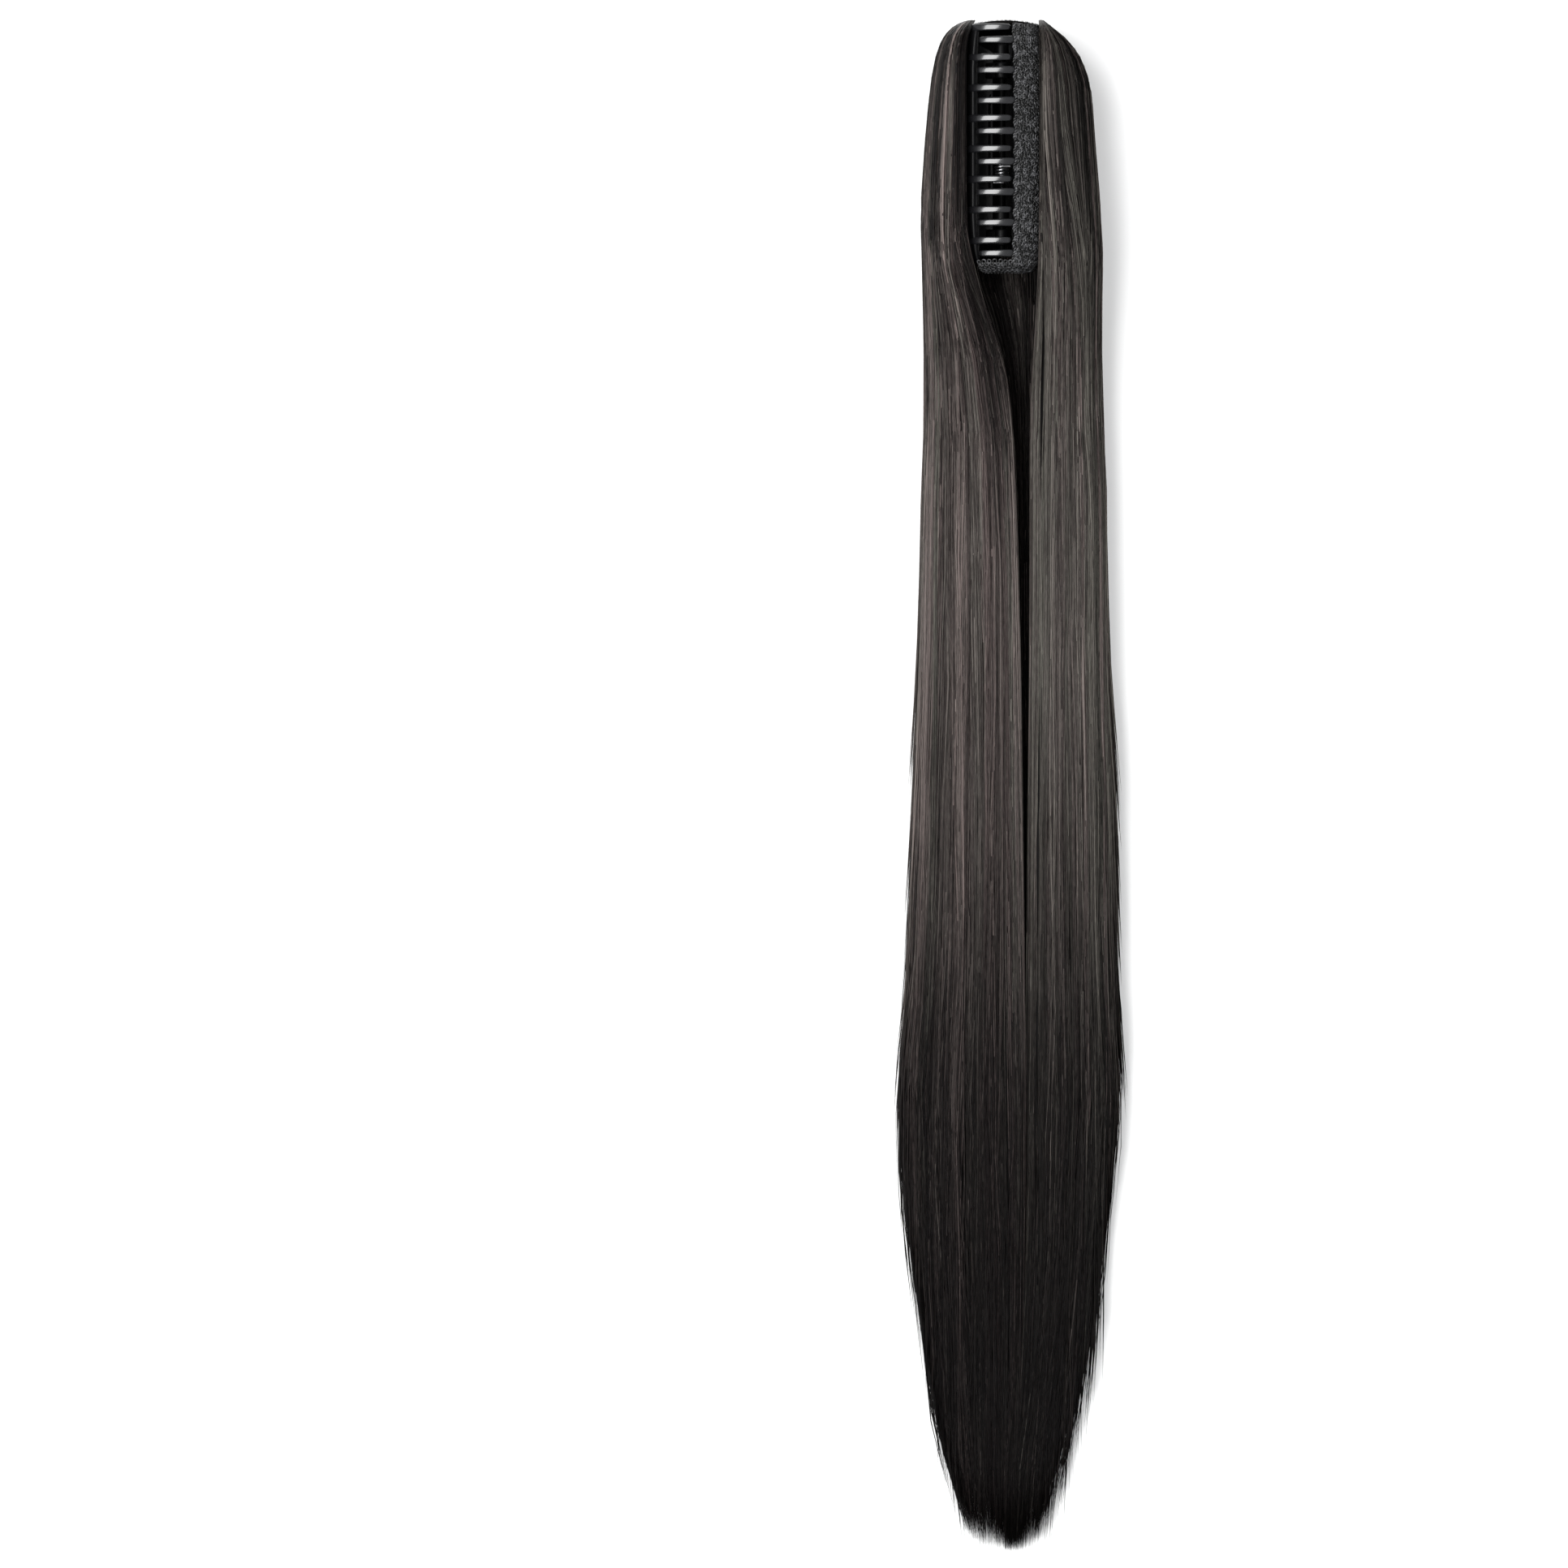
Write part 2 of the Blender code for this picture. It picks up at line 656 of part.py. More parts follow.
def claw_net(name, collection, helpers, finish):
    """The net on the right jaw's shoulder, with a hood that closes round the claw's lower end."""
    rows = []
    for y in np.linspace(NET_HOOD_Y, NET_TOP_Y, 22):
        wave = NET_SCALLOP * math.sin(y * math.tau / 0.0165) * 0.5
        row = []
        for share in np.linspace(0.0, 1.0, 6):
            edge = NET_INNER_TURN + wave
            turn = edge + (NET_OUTER_TURN - edge) * share
            row.append(on_jaw(1, turn, jaw_reach(turn) + NET_CLEARANCE, y))
        rows.append(row)
    net = add_object(name, sheet(name, rows), collection, finish)
    solidify(net, NET_WALL, 1.0)
    hood_rows = []
    for share in np.linspace(0.0, 1.0, 6):
        angle = share * math.pi / 2 * 0.9
        y = NET_HOOD_Y + 0.0002 - NET_HOOD_DEPTH * math.sin(angle)
        inset = NET_HOOD_CLOSING * (1 - math.cos(angle)) - NET_CLEARANCE
        turns = np.linspace(NET_OUTER_TURN, NET_HOOD_TURN, 10)
        hood_rows.append([on_jaw(1, turn, jaw_reach(turn) - inset, y) for turn in turns])
    hood = add_object(name + "_hood", sheet(name, hood_rows), helpers)
    solidify(hood, NET_WALL, 1.0)
    fuse(net, [hood], helpers)
    for piece in (net, hood):
        piece.location = (CLAW_X, 0, PIN_Z)
        piece.rotation_euler = (0, CLAW_TILT, 0)
    return net


def main():
    """Build every piece of the hairpiece."""
    clear_scene()
    hairpiece = new_collection("ponytail_hairpiece", hidden=False)
    helpers = new_collection("cutters", hidden=True)
    hair = material("hair", (0.035, 0.029, 0.027), 0.42)
    plastic = material("black_plastic", (0.008, 0.008, 0.009), 0.16)
    steel = material("spring_steel", (0.55, 0.55, 0.56), 0.30, 1.0)
    thread = material("net_thread", (0.014, 0.013, 0.014), 0.70)
    front_layer("hair_front", hairpiece, helpers, hair)
    side_lock("hair_left", "left", hairpiece, helpers, hair)
    side_lock("hair_right", "right", hairpiece, helpers, hair)
    claw_jaw("claw_jaw_left", -1, hairpiece, helpers, plastic)
    claw_jaw("claw_jaw_right", 1, hairpiece, helpers, plastic)
    hinge_pin("hinge_pin", hairpiece, steel)
    claw_spring("claw_spring", hairpiece, steel)
    claw_net("claw_net", hairpiece, helpers, thread)


main()
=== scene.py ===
"""Claw-clip ponytail hairpiece: the looks of its hair, claw, net and hinge.

Metres, +Z up. +Y runs from the hair's tips to the claw's end, and the hairpiece lies on z = 0.
"""

import logging
import math
from dataclasses import dataclass, field
from enum import Enum

import bpy
import numpy as np
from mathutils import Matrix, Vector


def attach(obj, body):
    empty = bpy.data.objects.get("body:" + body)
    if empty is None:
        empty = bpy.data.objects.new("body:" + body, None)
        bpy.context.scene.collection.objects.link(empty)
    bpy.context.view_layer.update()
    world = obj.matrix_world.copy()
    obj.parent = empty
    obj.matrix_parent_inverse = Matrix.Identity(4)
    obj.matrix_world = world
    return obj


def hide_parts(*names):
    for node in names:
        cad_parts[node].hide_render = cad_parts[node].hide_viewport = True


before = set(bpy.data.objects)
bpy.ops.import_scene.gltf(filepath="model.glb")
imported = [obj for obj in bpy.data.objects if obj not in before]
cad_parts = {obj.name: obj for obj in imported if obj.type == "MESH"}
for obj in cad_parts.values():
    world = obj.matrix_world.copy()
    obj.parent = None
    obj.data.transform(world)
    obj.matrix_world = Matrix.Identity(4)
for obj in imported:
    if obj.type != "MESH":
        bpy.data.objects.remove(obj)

Array = np.ndarray
Point = tuple[float, float, float]
Colour = tuple[float, float, float]
Pair = tuple[float, float]
Stops = tuple[tuple[float, Colour], ...]

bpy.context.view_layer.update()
LOG = logging.getLogger("hairpiece")

# A length that keeps a division from being by nothing, and how far apart tubes lie in the UV map.
TINY = 1e-12
UV_STEP = 0.731


class Side(Enum):
    """The two sides of the parting, which are also the sides of the claw's two jaws."""

    LEFT = -1
    RIGHT = 1

    @property
    def word(self) -> str:
        """The side's name in lower case, as the nodes have it."""
        return self.name.lower()


class Body(Enum):
    """The bodies that the pieces ride on."""

    HAIR = "hair"
    LEFT_JAW = "left_jaw"
    RIGHT_JAW = "right_jaw"


# Shader maths


class Wire:
    """A socket in an expression: each operator adds the Math node that works it out."""

    def __init__(self, recipe: "Recipe", socket: bpy.types.NodeSocket) -> None:
        """Hold a socket and the recipe that its nodes belong to."""
        self.recipe = recipe
        self.socket = socket

    def _math(self, operation: str, first: "Wire | float", second: "Wire | float") -> "Wire":
        """One Math node on two values or wires."""
        return self.recipe.node(
            "ShaderNodeMath", {"operation": operation}, {0: first, 1: second}
        )

    def __add__(self, other: "Wire | float") -> "Wire":
        """This plus the other."""
        return self._math("ADD", self, other)

    def __radd__(self, other: float) -> "Wire":
        """The number plus this."""
        return self._math("ADD", other, self)

    def __sub__(self, other: "Wire | float") -> "Wire":
        """This minus the other."""
        return self._math("SUBTRACT", self, other)

    def __rsub__(self, other: float) -> "Wire":
        """The number minus this."""
        return self._math("SUBTRACT", other, self)

    def __mul__(self, other: "Wire | float") -> "Wire":
        """This times the other."""
        return self._math("MULTIPLY", self, other)

    def __rmul__(self, other: float) -> "Wire":
        """The number times this."""
        return self._math("MULTIPLY", other, self)

    def __pow__(self, other: float) -> "Wire":
        """This to the power of the number."""
        return self._math("POWER", self, other)


class Recipe:
    """A material in the making: its nodes, and the Principled shader that they feed."""

    def __init__(self, name: str) -> None:
        """Start a material with a bare Principled shader."""
        self.material = bpy.data.materials.new(name)
        self.material.use_nodes = True
        self.tree = self.material.node_tree
        self.shader = self.tree.nodes["Principled BSDF"]

    def node(
        self,
        kind: str,
        settings: dict | None = None,
        values: dict | None = None,
        out: int | str = 0,
    ) -> Wire:
        """Add one node, with its settings first and then its sockets.

        Args:
            kind: the node's type.
            settings: its properties. For a ramp, stops holds places and colours.
            values: numbers, tuples or wires for its sockets, by name or place.
            out: the output that is handed on.

        Returns:
            The chosen output as a wire.
        """
        made = self.tree.nodes.new(kind)
        for key, value in (settings or {}).items():
            if key == "stops":
                self._fill_ramp(made.color_ramp, value)
            else:
                setattr(made, key, value)
        for key, value in (values or {}).items():
            self._feed(made.inputs[key], value)
        return Wire(self, made.outputs[out])

    def _fill_ramp(self, ramp: bpy.types.ColorRamp, stops: Stops) -> None:
        """Put the stops in a ramp that starts with two."""
        while len(ramp.elements) < len(stops):
            ramp.elements.new(1.0)
        for element, (place, colour) in zip(ramp.elements, stops):
            element.position = place
            element.color = (*colour, 1.0)

    def _feed(self, socket: bpy.types.NodeSocket, value: object) -> None:
        """Link a wire to a socket, or set the socket's own value."""
        if isinstance(value, Wire):
            self.tree.links.new(value.socket, socket)
        else:
            socket.default_value = value

    def shade(self, values: dict[str, object]) -> bpy.types.Material:
        """Feed the Principled shader.

        Args:
            values: a number, tuple or wire for each named socket.

        Returns:
            The finished material.
        """
        for key, value in values.items():
            self._feed(self.shader.inputs[key], value)
        return self.material

    def place(self, scale: Point, source: str = "UV") -> Wire:
        """Coordinates on the piece, UV or Object, stretched by scale."""
        where = self.node("ShaderNodeTexCoord", out=source)
        return self.node(
            "ShaderNodeVectorMath", {"operation": "MULTIPLY"}, {0: where, 1: scale}
        )

    def noise(self, where: Wire, scale: float, detail: float = 2.0) -> Wire:
        """A noise from 0 to 1 at those coordinates."""
        values = {"Vector": where, "Scale": scale, "Detail": detail}
        return self.node("ShaderNodeTexNoise", values=values)

    def bump(self, height: Wire, strength: float, distance: float) -> Wire:
        """A Bump node that feeds the shader's Normal."""
        values = {"Height": height, "Strength": strength, "Distance": distance}
        return self.node("ShaderNodeBump", values=values)

    def mix(self, share: Wire | float, first: Wire | Colour, second: Wire | Colour) -> Wire:
        """Two colours mixed by the share of the second."""
        pair = [v if isinstance(v, Wire) else (*v, 1.0) for v in (first, second)]
        settings = {"data_type": "RGBA", "clamp_factor": True}
        return self.node("ShaderNodeMix", settings, {0: share, 6: pair[0], 7: pair[1]}, out=2)

    def tint(self, colour: Wire, by: Wire) -> Wire:
        """A colour multiplied by another."""
        settings = {"data_type": "RGBA", "blend_type": "MULTIPLY"}
        return self.node("ShaderNodeMix", settings, {0: 1.0, 6: colour, 7: by}, out=2)


# Finishes


@dataclass(frozen=True)
class HairFinish:
    """Dark brown hair. The tone trait goes from dark to light and holds painted highlight and shade
    as well as the hair's own tones; warmth goes from ash to brown.
    """

    name: str
    # depth scales every tone down; the ground's finish uses it as painted shade.
    depth: float = 1.0
    roughness: float = 0.36
    specular: float = 0.10
    streak: float = 0.28
    fleck: float = 0.55
    tones: Stops = (
        (0.00, (0.0016, 0.0013, 0.0014)),
        (0.28, (0.0090, 0.0077, 0.0074)),
        (0.58, (0.0480, 0.0425, 0.0400)),
        (1.00, (0.1700, 0.1540, 0.1430)),
    )
    hues: Stops = (
        (0.0, (0.92, 0.97, 0.90)), (0.5, (1.0, 0.97, 0.95)), (1.0, (1.06, 0.93, 0.94))
    )

    def make(self) -> bpy.types.Material:
        """Colour from the strand's traits, long streaks and short flecks, with a soft gloss.

        Returns:
            The material.
        """
        recipe = Recipe(self.name)
        tone = recipe.node("ShaderNodeAttribute", {"attribute_name": "tone"}, out="Fac")
        warmth = recipe.node("ShaderNodeAttribute", {"attribute_name": "warmth"}, out="Fac")
        streak = recipe.noise(recipe.place((1.0, 9.0, 1.0)), 6.0, 3.0)
        fleck = recipe.noise(recipe.place((1.0, 42.0, 1.0)), 6.0, 2.0)
        shade = tone + (streak - 0.5) * self.streak + (fleck - 0.5) * self.fleck
        tones = [(at, tuple(c * self.depth for c in colour)) for at, colour in self.tones]
        colour = recipe.node("ShaderNodeValToRGB", {"stops": tones}, {"Fac": shade})
        hue = recipe.node("ShaderNodeValToRGB", {"stops": self.hues}, {"Fac": warmth})
        return recipe.shade(
            {
                "Base Color": recipe.tint(colour, hue),
                "Roughness": self.roughness + (fleck - 0.5) * 0.25,
                "Specular IOR Level": self.specular,
            }
        )


@dataclass(frozen=True)
class PlasticFinish:
    """Black plastic with a faint moulding waviness and a few dull patches."""

    name: str = "black_plastic"
    roughness: float = 0.16
    specular: float = 0.60
    coat: float = 0.80
    # shade scales the greys down; below 1 it is painted shade, for the parts in the claw's hollow.
    shade: float = 1.0
    greys: tuple[Colour, Colour] = ((0.0030, 0.0030, 0.0034), (0.0110, 0.0110, 0.0125))

    def make(self) -> bpy.types.Material:
        """Near-black with a clear gloss.

        Returns:
            The material.
        """
        recipe = Recipe(self.name)
        where = recipe.place((1.0, 1.0, 1.0), "Object")
        wear = recipe.noise(where, 160.0, 4.0)
        wave = recipe.noise(where, 70.0, 1.0)
        greys = [tuple(self.shade * part for part in grey) for grey in self.greys]
        return recipe.shade(
            {
                "Base Color": recipe.mix(wear, *greys),
                "Roughness": self.roughness + wear * 0.12,
                "Specular IOR Level": self.specular,
                "Coat Weight": self.coat,
                "Coat Roughness": 0.13,
                "Normal": recipe.bump(wave, 0.10, 0.0006),
            }
        )


@dataclass(frozen=True)
class SteelFinish:
    """Drawn steel, with fine scratches round the wire."""

    name: str = "spring_steel"
    dull: Colour = (0.42, 0.42, 0.43)
    bright: Colour = (0.66, 0.66, 0.67)
    roughness: float = 0.20

    def make(self) -> bpy.types.Material:
        """Grey metal whose roughness varies with the drawing marks.

        Returns:
            The material.
        """
        recipe = Recipe(self.name)
        where = recipe.place((1.0, 1.0, 1.0), "Object")
        marks = recipe.noise(where, 900.0, 3.0)
        return recipe.shade(
            {
                "Base Color": recipe.mix(marks, self.dull, self.bright),
                "Roughness": self.roughness + marks * 0.20,
                "Metallic": 1.0,
                "Normal": recipe.bump(marks, 0.2, 0.0001),
            }
        )


@dataclass(frozen=True)
class ThreadFinish:
    """Black crochet thread: twisted plies, dull, with small glints on the raised loops. Its knot
    spots are painted glints: there the base colour turns to the lighter grey and the roughness
    drops.
    """

    name: str
    # light is the grey of the plies in the knot spots, which are painted glints; shade is the
    # thread's own black.
    light: Colour = (0.112, 0.112, 0.118)
    shade: Colour = (0.0015, 0.0015, 0.0016)
    knots: Stops = ((0.46, (0.02,) * 3), (0.64, (1.0,) * 3))

    def make(self) -> bpy.types.Material:
        """A ply pattern in colour and bump, from a wave over the thread's own UV, with painted
        glints as lighter, glossier knot spots from a coarse noise.

        Returns:
            The material.
        """
        recipe = Recipe(self.name)
        where = recipe.place((1.0, 1.0, 1.0))
        ply = recipe.node(
            "ShaderNodeTexWave",
            {"bands_direction": "DIAGONAL"},
            {"Vector": where, "Scale": 2.2, "Distortion": 0.6, "Detail": 1.0},
            out="Fac",
        )
        spot = recipe.place((1.0, 1.0, 1.0), "Object")
        fuzz = recipe.noise(spot, 1400.0, 2.0)
        # The knots are painted glints: spots of lighter base colour and lower roughness.
        knots = recipe.noise(spot, 460.0, 1.0)
        knots = recipe.node("ShaderNodeValToRGB", {"stops": self.knots}, {"Fac": knots})
        shade = (ply * 0.5 + fuzz * 0.5) * knots
        return recipe.shade(
            {
                "Base Color": recipe.mix(shade, self.shade, self.light),
                "Roughness": 0.50 - shade * 0.32,
                "Specular IOR Level": 0.70,
                "Normal": recipe.bump(fuzz, 0.45, 0.0002),
            }
        )


@dataclass(frozen=True)
class FloorFinish:
    """A plain pale tabletop with hardly any tooth."""

    name: str = "pale_floor"

    def make(self) -> bpy.types.Material:
        """Near-white and dull.

        Returns:
            The material.
        """
        recipe = Recipe(self.name)
        tooth = recipe.noise(recipe.place((1.0, 1.0, 1.0), "Object"), 40.0, 2.0)
        colour = recipe.mix(tooth, (0.905, 0.905, 0.900), (0.925, 0.925, 0.920))
        return recipe.shade({"Base Color": colour, "Roughness": 0.75, "Specular IOR Level": 0.2})


# Meshes


@dataclass
class Surface:
    """Points and faces as arrays, with a UV and named traits for each point."""

    points: Array
    quads: Array
    triangles: Array
    uv: Array
    traits: dict[str, Array] = field(default_factory=dict)

    def mesh(self, name: str) -> bpy.types.Mesh:
        """Put the arrays into a smooth-shaded mesh.

        Args:
            name: the mesh's name.

        Returns:
            The mesh.
        """
        made = bpy.data.meshes.new(name)
        corners = np.concatenate([self.quads.ravel(), self.triangles.ravel()]).astype(np.int32)
        fours, threes = len(self.quads), len(self.triangles)
        starts = np.concatenate([np.arange(fours) * 4, fours * 4 + np.arange(threes) * 3])
        made.vertices.add(len(self.points))
        made.vertices.foreach_set("co", self.points.astype(np.float32).ravel())
        made.loops.add(len(corners))
        made.loops.foreach_set("vertex_index", corners)
        made.polygons.add(len(starts))
        made.polygons.foreach_set("loop_start", starts.astype(np.int32))
        made.update(calc_edges=True)
        layer = made.uv_layers.new(name="UVMap")
        layer.data.foreach_set("uv", self.uv[corners].astype(np.float32).ravel())
        for key, values in self.traits.items():
            trait = made.attributes.new(key, "FLOAT", "POINT")
            trait.data.foreach_set("value", values.astype(np.float32).ravel())
        made.validate()
        made.shade_smooth()
        return made


def joined(surfaces: list[Surface]) -> Surface:
    """Several surfaces as one: their points in a row, and each one's faces moved on by the
    number of points before it.

    Args:
        surfaces: the surfaces, all with the same traits.

    Returns:
        One surface.
    """
    shifts = np.cumsum([0] + [len(s.points) for s in surfaces])
    keys = surfaces[0].traits.keys()
    return Surface(
        np.concatenate([s.points for s in surfaces]),
        np.concatenate([s.quads + n for s, n in zip(surfaces, shifts)]),
        np.concatenate([s.triangles + n for s, n in zip(surfaces, shifts)]),
        np.concatenate([s.uv for s in surfaces]),
        {key: np.concatenate([s.traits[key] for s in surfaces]) for key in keys},
    )


def ring_quads(strips: int, rings: int, sides: int) -> Array:
    """Faces between neighbouring rings of many closed strips whose points lie in order.

    Args:
        strips: how many separate tubes there are.
        rings: rings in each tube.
        sides: points in each ring.

    Returns:
        Corner numbers, four to a face.
    """
    strip, ring, side = np.meshgrid(
        np.arange(strips), np.arange(rings - 1), np.arange(sides), indexing="ij"
    )
    after = (side + 1) % sides
    low = (strip * rings + ring) * sides
    high = low + sides
    return np.stack([low + side, low + after, high + after, high + side], -1).reshape(-1, 4)


def ring_caps(strips: int, rings: int, sides: int) -> Array:
    """Triangles that close both ends of many tubes, fanned from the first point of each ring.

    Args:
        strips: how many separate tubes there are.
        rings: rings in each tube.
        sides: points in each ring.

    Returns:
        Corner numbers, three to a face.
    """
    fan = np.arange(1, sides - 1)
    near = np.stack([np.zeros_like(fan), fan + 1, fan], -1)
    far = near[:, ::-1] + (rings - 1) * sides
    caps = np.concatenate([near, far])
    starts = np.arange(strips) * rings * sides
    return (starts[:, None, None] + caps[None]).reshape(-1, 3)


def section(sides: int, wide_power: float, deep_power: float) -> tuple[Array, Array]:
    """A superellipse round a ring: the cosine and the sine of the angle, each with its size
    raised to its own power and its sign kept.

    Args:
        sides: points in the ring.
        wide_power: the cosine's power, 1 for round and under 1 for squarer.
        deep_power: the sine's power.

    Returns:
        Both coordinates, from -1 to 1.
    """
    turn = 2 * np.pi * (np.arange(sides) + 0.5) / sides
    wide = np.sign(np.cos(turn)) * np.abs(np.cos(turn)) ** wide_power
    deep = np.sign(np.sin(turn)) * np.abs(np.sin(turn)) ** deep_power
    return wide, deep


def opened(distance: Array, length: float) -> Array:
    """How open a form with an elliptical end is: 0 at the end, 1 from the length on."""
    return np.sqrt(1 - (1 - np.clip(distance / length, 0, 1)) ** 2)


def lofted(
    points: Array, uv: Array, traits: dict[str, Array] | None = None, capped: bool = True
) -> Surface:
    """One form through rings of points, with a fan of triangles over each end.

    Args:
        points: rings by sides by 3.
        uv: rings by sides by 2.
        traits: values for each point.
        capped: whether the ends are closed, or meet each other.

    Returns:
        The surface.
    """
    rings, sides, _ = points.shape
    caps = ring_caps(1, rings, sides) if capped else np.zeros((0, 3), int)
    values = {key: value.ravel() for key, value in (traits or {}).items()}
    quads = ring_quads(1, rings, sides)
    return Surface(points.reshape(-1, 3), quads, caps, uv.reshape(-1, 2), values)


def tubes(
    lines: Array,
    across: Array,
    through: Array,
    sides: int,
    reference: Point,
    squareness: float = 1.0,
    traits: dict[str, Array] | None = None,
) -> Surface:
    """Many closed tubes: a superellipse carried along each line, measured along the reference,
    made square to the line, and along the third direction.

    Args:
        lines: centre lines, tubes by rings by 3.
        across: half-width of each ring along the reference.
        through: half-width of each ring square to it.
        sides: points in each ring.
        reference: the direction that across is measured along.
        squareness: the superellipse's power.
        traits: values for each ring of each tube.

    Returns:
        The tubes as one surface.
    """
    count, rings, _ = lines.shape
    way = np.gradient(lines, axis=1)
    way /= np.linalg.norm(way, axis=-1, keepdims=True) + TINY
    guide = np.asarray(reference, float)
    side = guide - (way @ guide)[..., None] * way
    side /= np.linalg.norm(side, axis=-1, keepdims=True) + TINY
    up = np.cross(way, side)
    wide, deep = section(sides, squareness, squareness)
    points = (
        lines[:, :, None]
        + (across[..., None] * wide)[..., None] * side[:, :, None]
        + (through[..., None] * deep)[..., None] * up[:, :, None]
    )
    steps = np.linalg.norm(np.diff(lines, axis=1), axis=-1)
    length = np.concatenate([np.zeros((count, 1)), np.cumsum(steps, axis=1)], axis=1)
    u = np.arange(count)[:, None, None] * UV_STEP + np.arange(sides) / sides
    v = np.repeat(length[..., None], sides, -1)
    uv = np.stack([np.broadcast_to(u, v.shape), v], -1).reshape(-1, 2)
    spread = {k: np.repeat(a[..., None], sides, -1).ravel() for k, a in (traits or {}).items()}
    quads, caps = ring_quads(count, rings, sides), ring_caps(count, rings, sides)
    return Surface(points.reshape(-1, 3), quads, caps, uv, spread)


def wander(rng: np.random.Generator, along: Array, waves: tuple[float, ...]) -> Array:
    """A smooth random drift along each line: a sum of sines, each wave's size falling with its
    length, each line with its own phases. It stays within about 1.

    Args:
        rng: the seeded generator.
        along: distance along each line, lines by points.
        waves: the wavelengths, longest first.

    Returns:
        The drift, the same shape as along.
    """
    total = np.zeros_like(along)
    for wave in waves:
        phase = rng.uniform(0, 2 * np.pi, (len(along), 1))
        stretch = rng.uniform(0.75, 1.3, (len(along), 1))
        total += wave / waves[0] * np.sin(2 * np.pi * along * stretch / wave + phase)
    return total / sum(wave / waves[0] for wave in waves)


def smooth_read(at: Array, knots: Array, values: Array) -> Array:
    """Read a table smoothly: a cubic between rows, whose slope at each row is the harmonic mean
    of the slopes beside it, so that it never swings past the rows.

    Args:
        at: where to read.
        knots: the rows' places, rising.
        values: the rows' values.

    Returns:
        The values read, in the shape of at.
    """
    step = np.diff(knots)
    slope = np.diff(values) / step
    tangent = np.zeros(len(values))
    tangent[0], tangent[-1] = slope[0], slope[-1]
    agree = slope[:-1] * slope[1:] > 0
    both = np.where(agree, slope[:-1] + slope[1:], 1.0)
    tangent[1:-1] = np.where(agree, 2 * slope[:-1] * slope[1:] / both, 0.0)
    k = np.clip(np.searchsorted(knots, at) - 1, 0, len(step) - 1)
    t = np.clip((at - knots[k]) / step[k], 0.0, 1.0)
    return (
        values[k] * (2 * t**3 - 3 * t**2 + 1)
        + values[k + 1] * (3 * t**2 - 2 * t**3)
        + tangent[k] * step[k] * (t**3 - 2 * t**2 + t)
        + tangent[k + 1] * step[k] * (t**3 - t**2)
    )


def add_piece(
    name: str,
    surface: Surface,
    finish: bpy.types.Material,
    body: Body,
    replaces: tuple[str, ...] = (),
) -> bpy.types.Object:
    """Make a surface an object in the scene, riding on its body, and report it.

    Args:
        name: the piece's name.
        surface: its points and faces.
        finish: its material.
        body: the body that it rides on.
        replaces: the CAD nodes that it stands for.

    Returns:
        The object.
    """
    made = bpy.data.objects.new(name, surface.mesh(name))
    made.data.materials.append(finish)
    bpy.context.scene.collection.objects.link(made)
    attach(made, body.value)
    if replaces:
        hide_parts(*replaces)
    LOG.info("%s: %d triangles", name, 2 * len(surface.quads) + len(surface.triangles))
    return made


# Hair

HAIR_COLUMNS = ("y", "left", "right", "in_left", "in_right", "crest", "layer")
HAIR_ROWS = (
    (0.3297, -0.0182, 0.0135, -0.0150, 0.0122, 0.0345, 0.0135),
    (0.3268, -0.0242, 0.0170, -0.0165, 0.0122, 0.0395, 0.0085),
    (0.3205, -0.0291, 0.0242, -0.0190, 0.0122, 0.0435, 0.0062),
    (0.3120, -0.0319, 0.0301, -0.0196, 0.0122, 0.0455, 0.0056),
    (0.2990, -0.0340, 0.0340, -0.0196, 0.0122, 0.0465, 0.0056),
    (0.2710, -0.0365, 0.0361, -0.0196, 0.0122, 0.0470, 0.0056),
    (0.2430, -0.0379, 0.0383, -0.0196, 0.0122, 0.0465, 0.0056),
    (0.2240, -0.0372, 0.0390, -0.0185, 0.0120, 0.0440, 0.0058),
    (0.2000, -0.0365, 0.0386, -0.0095, 0.0112, 0.0375, 0.0062),
    (0.1750, -0.0356, 0.0383, -0.0024, 0.0100, 0.0315, 0.0065),
    (0.1300, -0.0372, 0.0407, 0.0012, 0.0097, 0.0270, 0.0068),
    (0.0600, -0.0386, 0.0414, 0.0032, 0.0096, 0.0245, 0.0068),
    (-0.0110, -0.0407, 0.0439, 0.0042, 0.0090, 0.0220, 0.0066),
    (-0.0810, -0.0425, 0.0442, 0.0052, 0.0084, 0.0190, 0.0060),
    (-0.1380, -0.0464, 0.0464, 0.0060, 0.0080, 0.0160, 0.0054),
    (-0.1800, -0.0446, 0.0414, 0.0060, 0.0076, 0.0130, 0.0046),
    (-0.2225, -0.0379, 0.0372, 0.0050, 0.0064, 0.0100, 0.0038),
    (-0.2650, -0.0316, 0.0270, 0.0026, 0.0040, 0.0075, 0.0030),
    (-0.2930, -0.0256, 0.0185, 0.0000, 0.0014, 0.0057, 0.0024),
    (-0.3150, -0.0160, 0.0110, -0.0022, -0.0008, 0.0042, 0.0018),
    (-0.3300, -0.0050, 0.0020, -0.0020, -0.0012, 0.0026, 0.0012),
)

# Where the strands' ends reach: y, left edge, right edge.
TIP_ROWS = (
    (-0.1380, -0.0464, 0.0464),
    (-0.1800, -0.0446, 0.0420),
    (-0.2366, -0.0378, 0.0352),
    (-0.2650, -0.0326, 0.0280),
    (-0.2873, -0.0276, 0.0218),
    (-0.3043, -0.0236, 0.0178),
    (-0.3155, -0.0196, 0.0134),
    (-0.3212, -0.0140, 0.0104),
    (-0.3270, -0.0098, 0.0052),
    (-0.3325, -0.0040, 0.0000),
)

